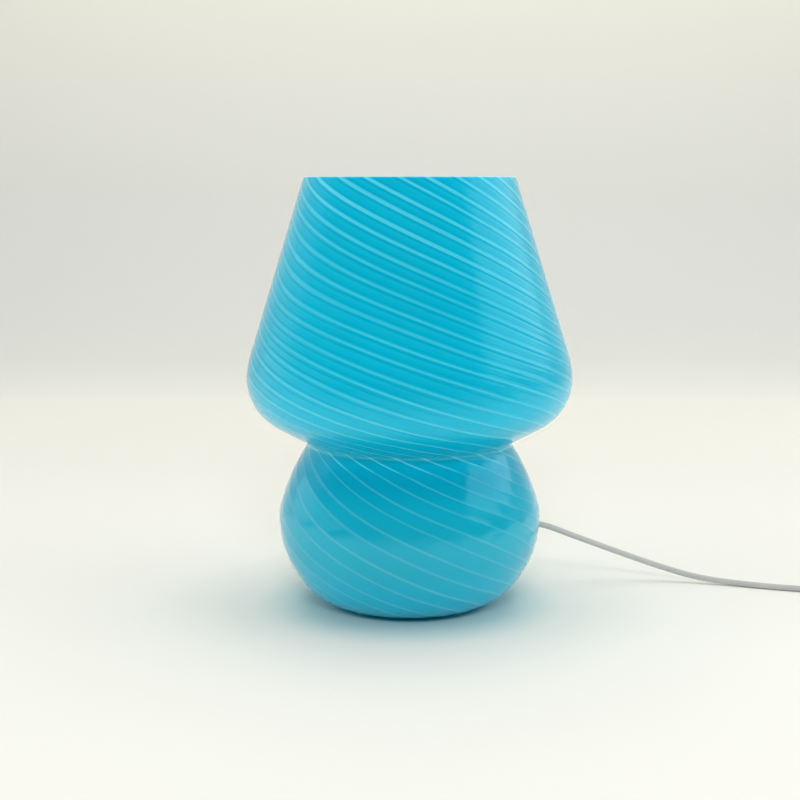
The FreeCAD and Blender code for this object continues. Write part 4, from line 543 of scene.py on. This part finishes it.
def striped_glass_finish():
    """Cyan glass with pale stripes drawn into it. Their width, strength and softness change on the way up."""
    finish, shader, add, wire = new_finish("striped_cyan_glass")
    place = add("TexCoord").outputs["Object"]
    along, off, number, luck = stripe_paths(add)
    stripe = stripe_shape(add, along, off, luck)
    amount = stripe_amount(add, along, off, number, luck, stripe)
    groove, between = groove_and_between(add, along, off)
    rim = ramp_between(add, add("SeparateXYZ", {0: place}).outputs[2], RIM_STARTS, RIM_FULL)

    pale = two_tone(add, ramp_between(add, along, 0.8, 1.05, smooth=True), STRIPE_ON_BOWL, STRIPE_ON_SHADE)
    striped = two_tone(add, amount, body_colour(add, place, along, groove, between), pale)
    wire(two_tone(add, rim, striped, GROUND_RIM), "Base Color")
    wire(glass_roughness(add, along, rim), "Roughness")

    ripple = add("TexNoise", {"Vector": place, "Scale": 90.0, "Detail": 3.0}).outputs[0]
    proud = calc(add, "MULTIPLY", stripe, ramp_between(add, along, 1.05, 1.2, 0.3, 1.0))
    relief = calc(add, "SUBTRACT", proud, groove)
    relief = calc(add, "ADD", relief, calc(add, "MULTIPLY", between, 0.6))
    relief = calc(add, "ADD", relief, calc(add, "MULTIPLY", ripple, 0.6))
    wire(add("Bump", {"Height": relief, "Strength": 1.0, "Distance": 0.0001}).outputs[0], "Normal")

    shader.inputs["IOR"].default_value = 1.5
    shader.inputs["Specular IOR Level"].default_value = 0.75
    shader.inputs["Specular Tint"].default_value = SPECULAR_TINT
    shader.inputs["Subsurface Weight"].default_value = 0.5
    shader.inputs["Subsurface Radius"].default_value = (0.1, 0.7, 1.0)
    shader.inputs["Subsurface Scale"].default_value = 0.006
    return finish


glass = blown_glass()
glass.data.materials.append(striped_glass_finish())
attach(glass, "lamp")
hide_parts("glass_body")

for node in nodes.values():
    for held in node.material_slots:
        held.material = FINISH_OF_SLOT.get(held.material.name, glass.active_material)


# Stage: pale floor that sweeps up into a wall

SWEEP_WIDTH = 8
SWEEP_FRONT = -3
SWEEP_BEND_STARTS = 0.78
SWEEP_BEND_RADIUS = 0.5
SWEEP_TOP = 4
TABLE_EDGE = -0.26
TABLE_EDGE_BLUR = 0.02
# The paper's tones up the sweep, a painted fall-off of light, as parts of the way from PAPER_NEAR to
# PAPER_FAR along Y and their colours
PAPER_NEAR = 0.4
PAPER_FAR = 1.3
PAPER_FALLOFF_TONES = [(0, (0.865, 0.855, 0.8, 1)), (0.2, (0.9, 0.89, 0.83, 1)), (0.42, (0.93, 0.93, 0.875, 1)),
               (0.6, (0.78, 0.79, 0.75, 1)), (0.72, (0.745, 0.76, 0.73, 1)), (0.97, (0.73, 0.735, 0.695, 1))]
# Painted light: the paper lighter high up the wall
PAPER_HIGH_LIGHTER = (0.88, 0.88, 0.8, 1)
# Painted teal shadow on the paper round the glass, for its shadow and the light it lets through
PAINTED_TEAL_SHADOW = (0.54, 0.7, 0.695, 1)
# Painted dark shadow on the paper under the glass's foot
PAINTED_SHADOW_UNDER_FOOT = (0.05, 0.5, 0.6, 1)
# Painted reflection: seen only in gloss, the floor in front of TABLE_EDGE is dark, for the dim room beyond
# the table's edge
DARK_REFLECTED_BEYOND_TABLE = (0.36, 0.36, 0.34, 1)


def sweep():
    """Floor and wall as one sheet with a wide bend between them."""
    bm = bmesh.new()
    left = -SWEEP_WIDTH / 2
    first = bm.verts.new((left, SWEEP_FRONT, 0))
    second = bmesh.ops.extrude_vert_indiv(bm, verts=[first])["verts"][0]
    second.co.y = SWEEP_BEND_STARTS
    bmesh.ops.spin(bm, geom=[second], cent=(left, SWEEP_BEND_STARTS, SWEEP_BEND_RADIUS), axis=(1, 0, 0),
                   angle=math.pi / 2, steps=24)
    bm.verts.ensure_lookup_table()
    top = bmesh.ops.extrude_vert_indiv(bm, verts=[bm.verts[-1]])["verts"][0]
    top.co.z = SWEEP_TOP
    made = bmesh.ops.extrude_edge_only(bm, edges=bm.edges[:])
    right_side = [v for v in made["geom"] if isinstance(v, bmesh.types.BMVert)]
    bmesh.ops.translate(bm, verts=right_side, vec=(SWEEP_WIDTH, 0, 0))
    bmesh.ops.recalc_face_normals(bm, faces=bm.faces)
    for face in bm.faces:
        face.smooth = True
    mesh = bpy.data.meshes.new("sweep")
    bm.to_mesh(mesh)
    bm.free()
    return bpy.data.objects.new("sweep", mesh)


def sweep_finish():
    """Warm white paper that turns greyer up the sweep and lighter high on the wall, as painted fall-off of
    light, with a painted teal shadow round the glass and a darker painted shadow under its foot. In
    reflections only, the floor in front of the table edge is painted dark.
    """
    finish, shader, add, wire = new_finish("pale_paper")
    place = add("TexCoord").outputs["Object"]
    x, y, z = add("SeparateXYZ", {0: place}).outputs
    away = through_stops(add, ramp_between(add, y, PAPER_NEAR, PAPER_FAR), PAPER_FALLOFF_TONES)
    paper = two_tone(add, ramp_between(add, z, 0.22, 0.55), away, PAPER_HIGH_LIGHTER)
    from_axis = calc(add, "SQRT", calc(add, "ADD", calc(add, "MULTIPLY", x, x), calc(add, "MULTIPLY", y, y)))
    paper = two_tone(add, ramp_between(add, from_axis, 0.09, 0.05, smooth=True), paper, PAINTED_TEAL_SHADOW)
    paper = two_tone(add, ramp_between(add, from_axis, 0.047, 0.041, smooth=True), paper, PAINTED_SHADOW_UNDER_FOOT)
    in_front = ramp_between(add, y, TABLE_EDGE + TABLE_EDGE_BLUR, TABLE_EDGE - TABLE_EDGE_BLUR, smooth=True)
    in_gloss = calc(add, "MULTIPLY", in_front, add("LightPath").outputs["Is Glossy Ray"])
    wire(two_tone(add, in_gloss, paper, DARK_REFLECTED_BEYOND_TABLE), "Base Color")
    grain = add("TexNoise", {"Vector": place, "Scale": 300.0, "Detail": 3.0}).outputs[0]
    wire(ramp_between(add, grain, 0.3, 0.7, 0.6, 0.7), "Roughness")
    shader.inputs["Specular IOR Level"].default_value = 0.2
    return finish


floor = sweep()
floor.data.materials.append(sweep_finish())
bpy.context.scene.collection.objects.link(floor)


# Light: soft lamps, of which only the mirrored ones show in gloss, as ovals

def soft_lamp(name, place, aim, size, watts, mirrored=False):
    """A soft lamp that faces a point."""
    light = bpy.data.lights.new(name, "AREA")
    light.shape = "ELLIPSE" if mirrored else "RECTANGLE"
    light.size, light.size_y = size
    light.energy = watts
    lamp = bpy.data.objects.new(name, light)
    lamp.location = place
    lamp.rotation_mode = "QUATERNION"
    lamp.rotation_quaternion = (Vector(aim) - Vector(place)).to_track_quat("-Z", "Y")
    lamp.visible_glossy = mirrored
    bpy.context.scene.collection.objects.link(lamp)


soft_lamp("overhead_light", place=(0.04, 0.22, 1.5), aim=(0, 0, 0.1), size=(1.5, 1.25), watts=10.4)
soft_lamp("front_light", place=(0.02, -1.5, 1.0), aim=(0, 0, 0.1), size=(0.46, 0.3), watts=8.0)
soft_lamp("right_fill", place=(1.1, -0.3, 0.4), aim=(0, 0, 0.12), size=(0.9, 0.7), watts=3.0)
soft_lamp("left_fill", place=(-1.1, -0.3, 0.4), aim=(0, 0, 0.12), size=(0.9, 0.7), watts=3.6)
soft_lamp("right_window", place=(1.0, 0.1, 0.58), aim=(0, 0.1, 0.14), size=(1.6, 0.55), watts=2.1,
          mirrored=True)
soft_lamp("left_window", place=(-1.0, 0.05, 0.22), aim=(0, 0.05, 0.14), size=(1.5, 0.28), watts=0.58,
          mirrored=True)


# Surroundings: even for diffuse light, plain to the camera, and in gloss dark in front and pale at the back

SURROUND_TINT = (1.0, 0.99, 0.95, 1)
SURROUND_DIFFUSE = 0.4
SURROUND_SEEN = 0.66
GLOSS_IN_FRONT = 0.01
GLOSS_BEHIND = 0.75


def surroundings():
    """The studio round the stage, at a strength for each kind of ray."""
    world = bpy.data.worlds.new("studio")
    world.use_nodes = True
    tree = world.node_tree
    add = node_adder(tree)
    direction = add("SeparateXYZ", {0: add("TexCoord").outputs["Generated"]})
    mirrored = ramp_between(add, direction.outputs[1], -0.1, 0.6, GLOSS_IN_FRONT, GLOSS_BEHIND, smooth=True)
    rays = add("LightPath").outputs
    unseen = add("Mix", {"Factor": rays["Is Glossy Ray"], "A": SURROUND_DIFFUSE, "B": mirrored})
    level = add("Mix", {"Factor": rays["Is Camera Ray"], "A": unseen.outputs["Result"], "B": SURROUND_SEEN})
    background = tree.nodes["Background"]
    tree.links.new(level.outputs["Result"], background.inputs["Strength"])
    background.inputs["Color"].default_value = SURROUND_TINT
    return world


bpy.context.scene.world = surroundings()
bpy.context.scene.view_settings.view_transform = "Standard"
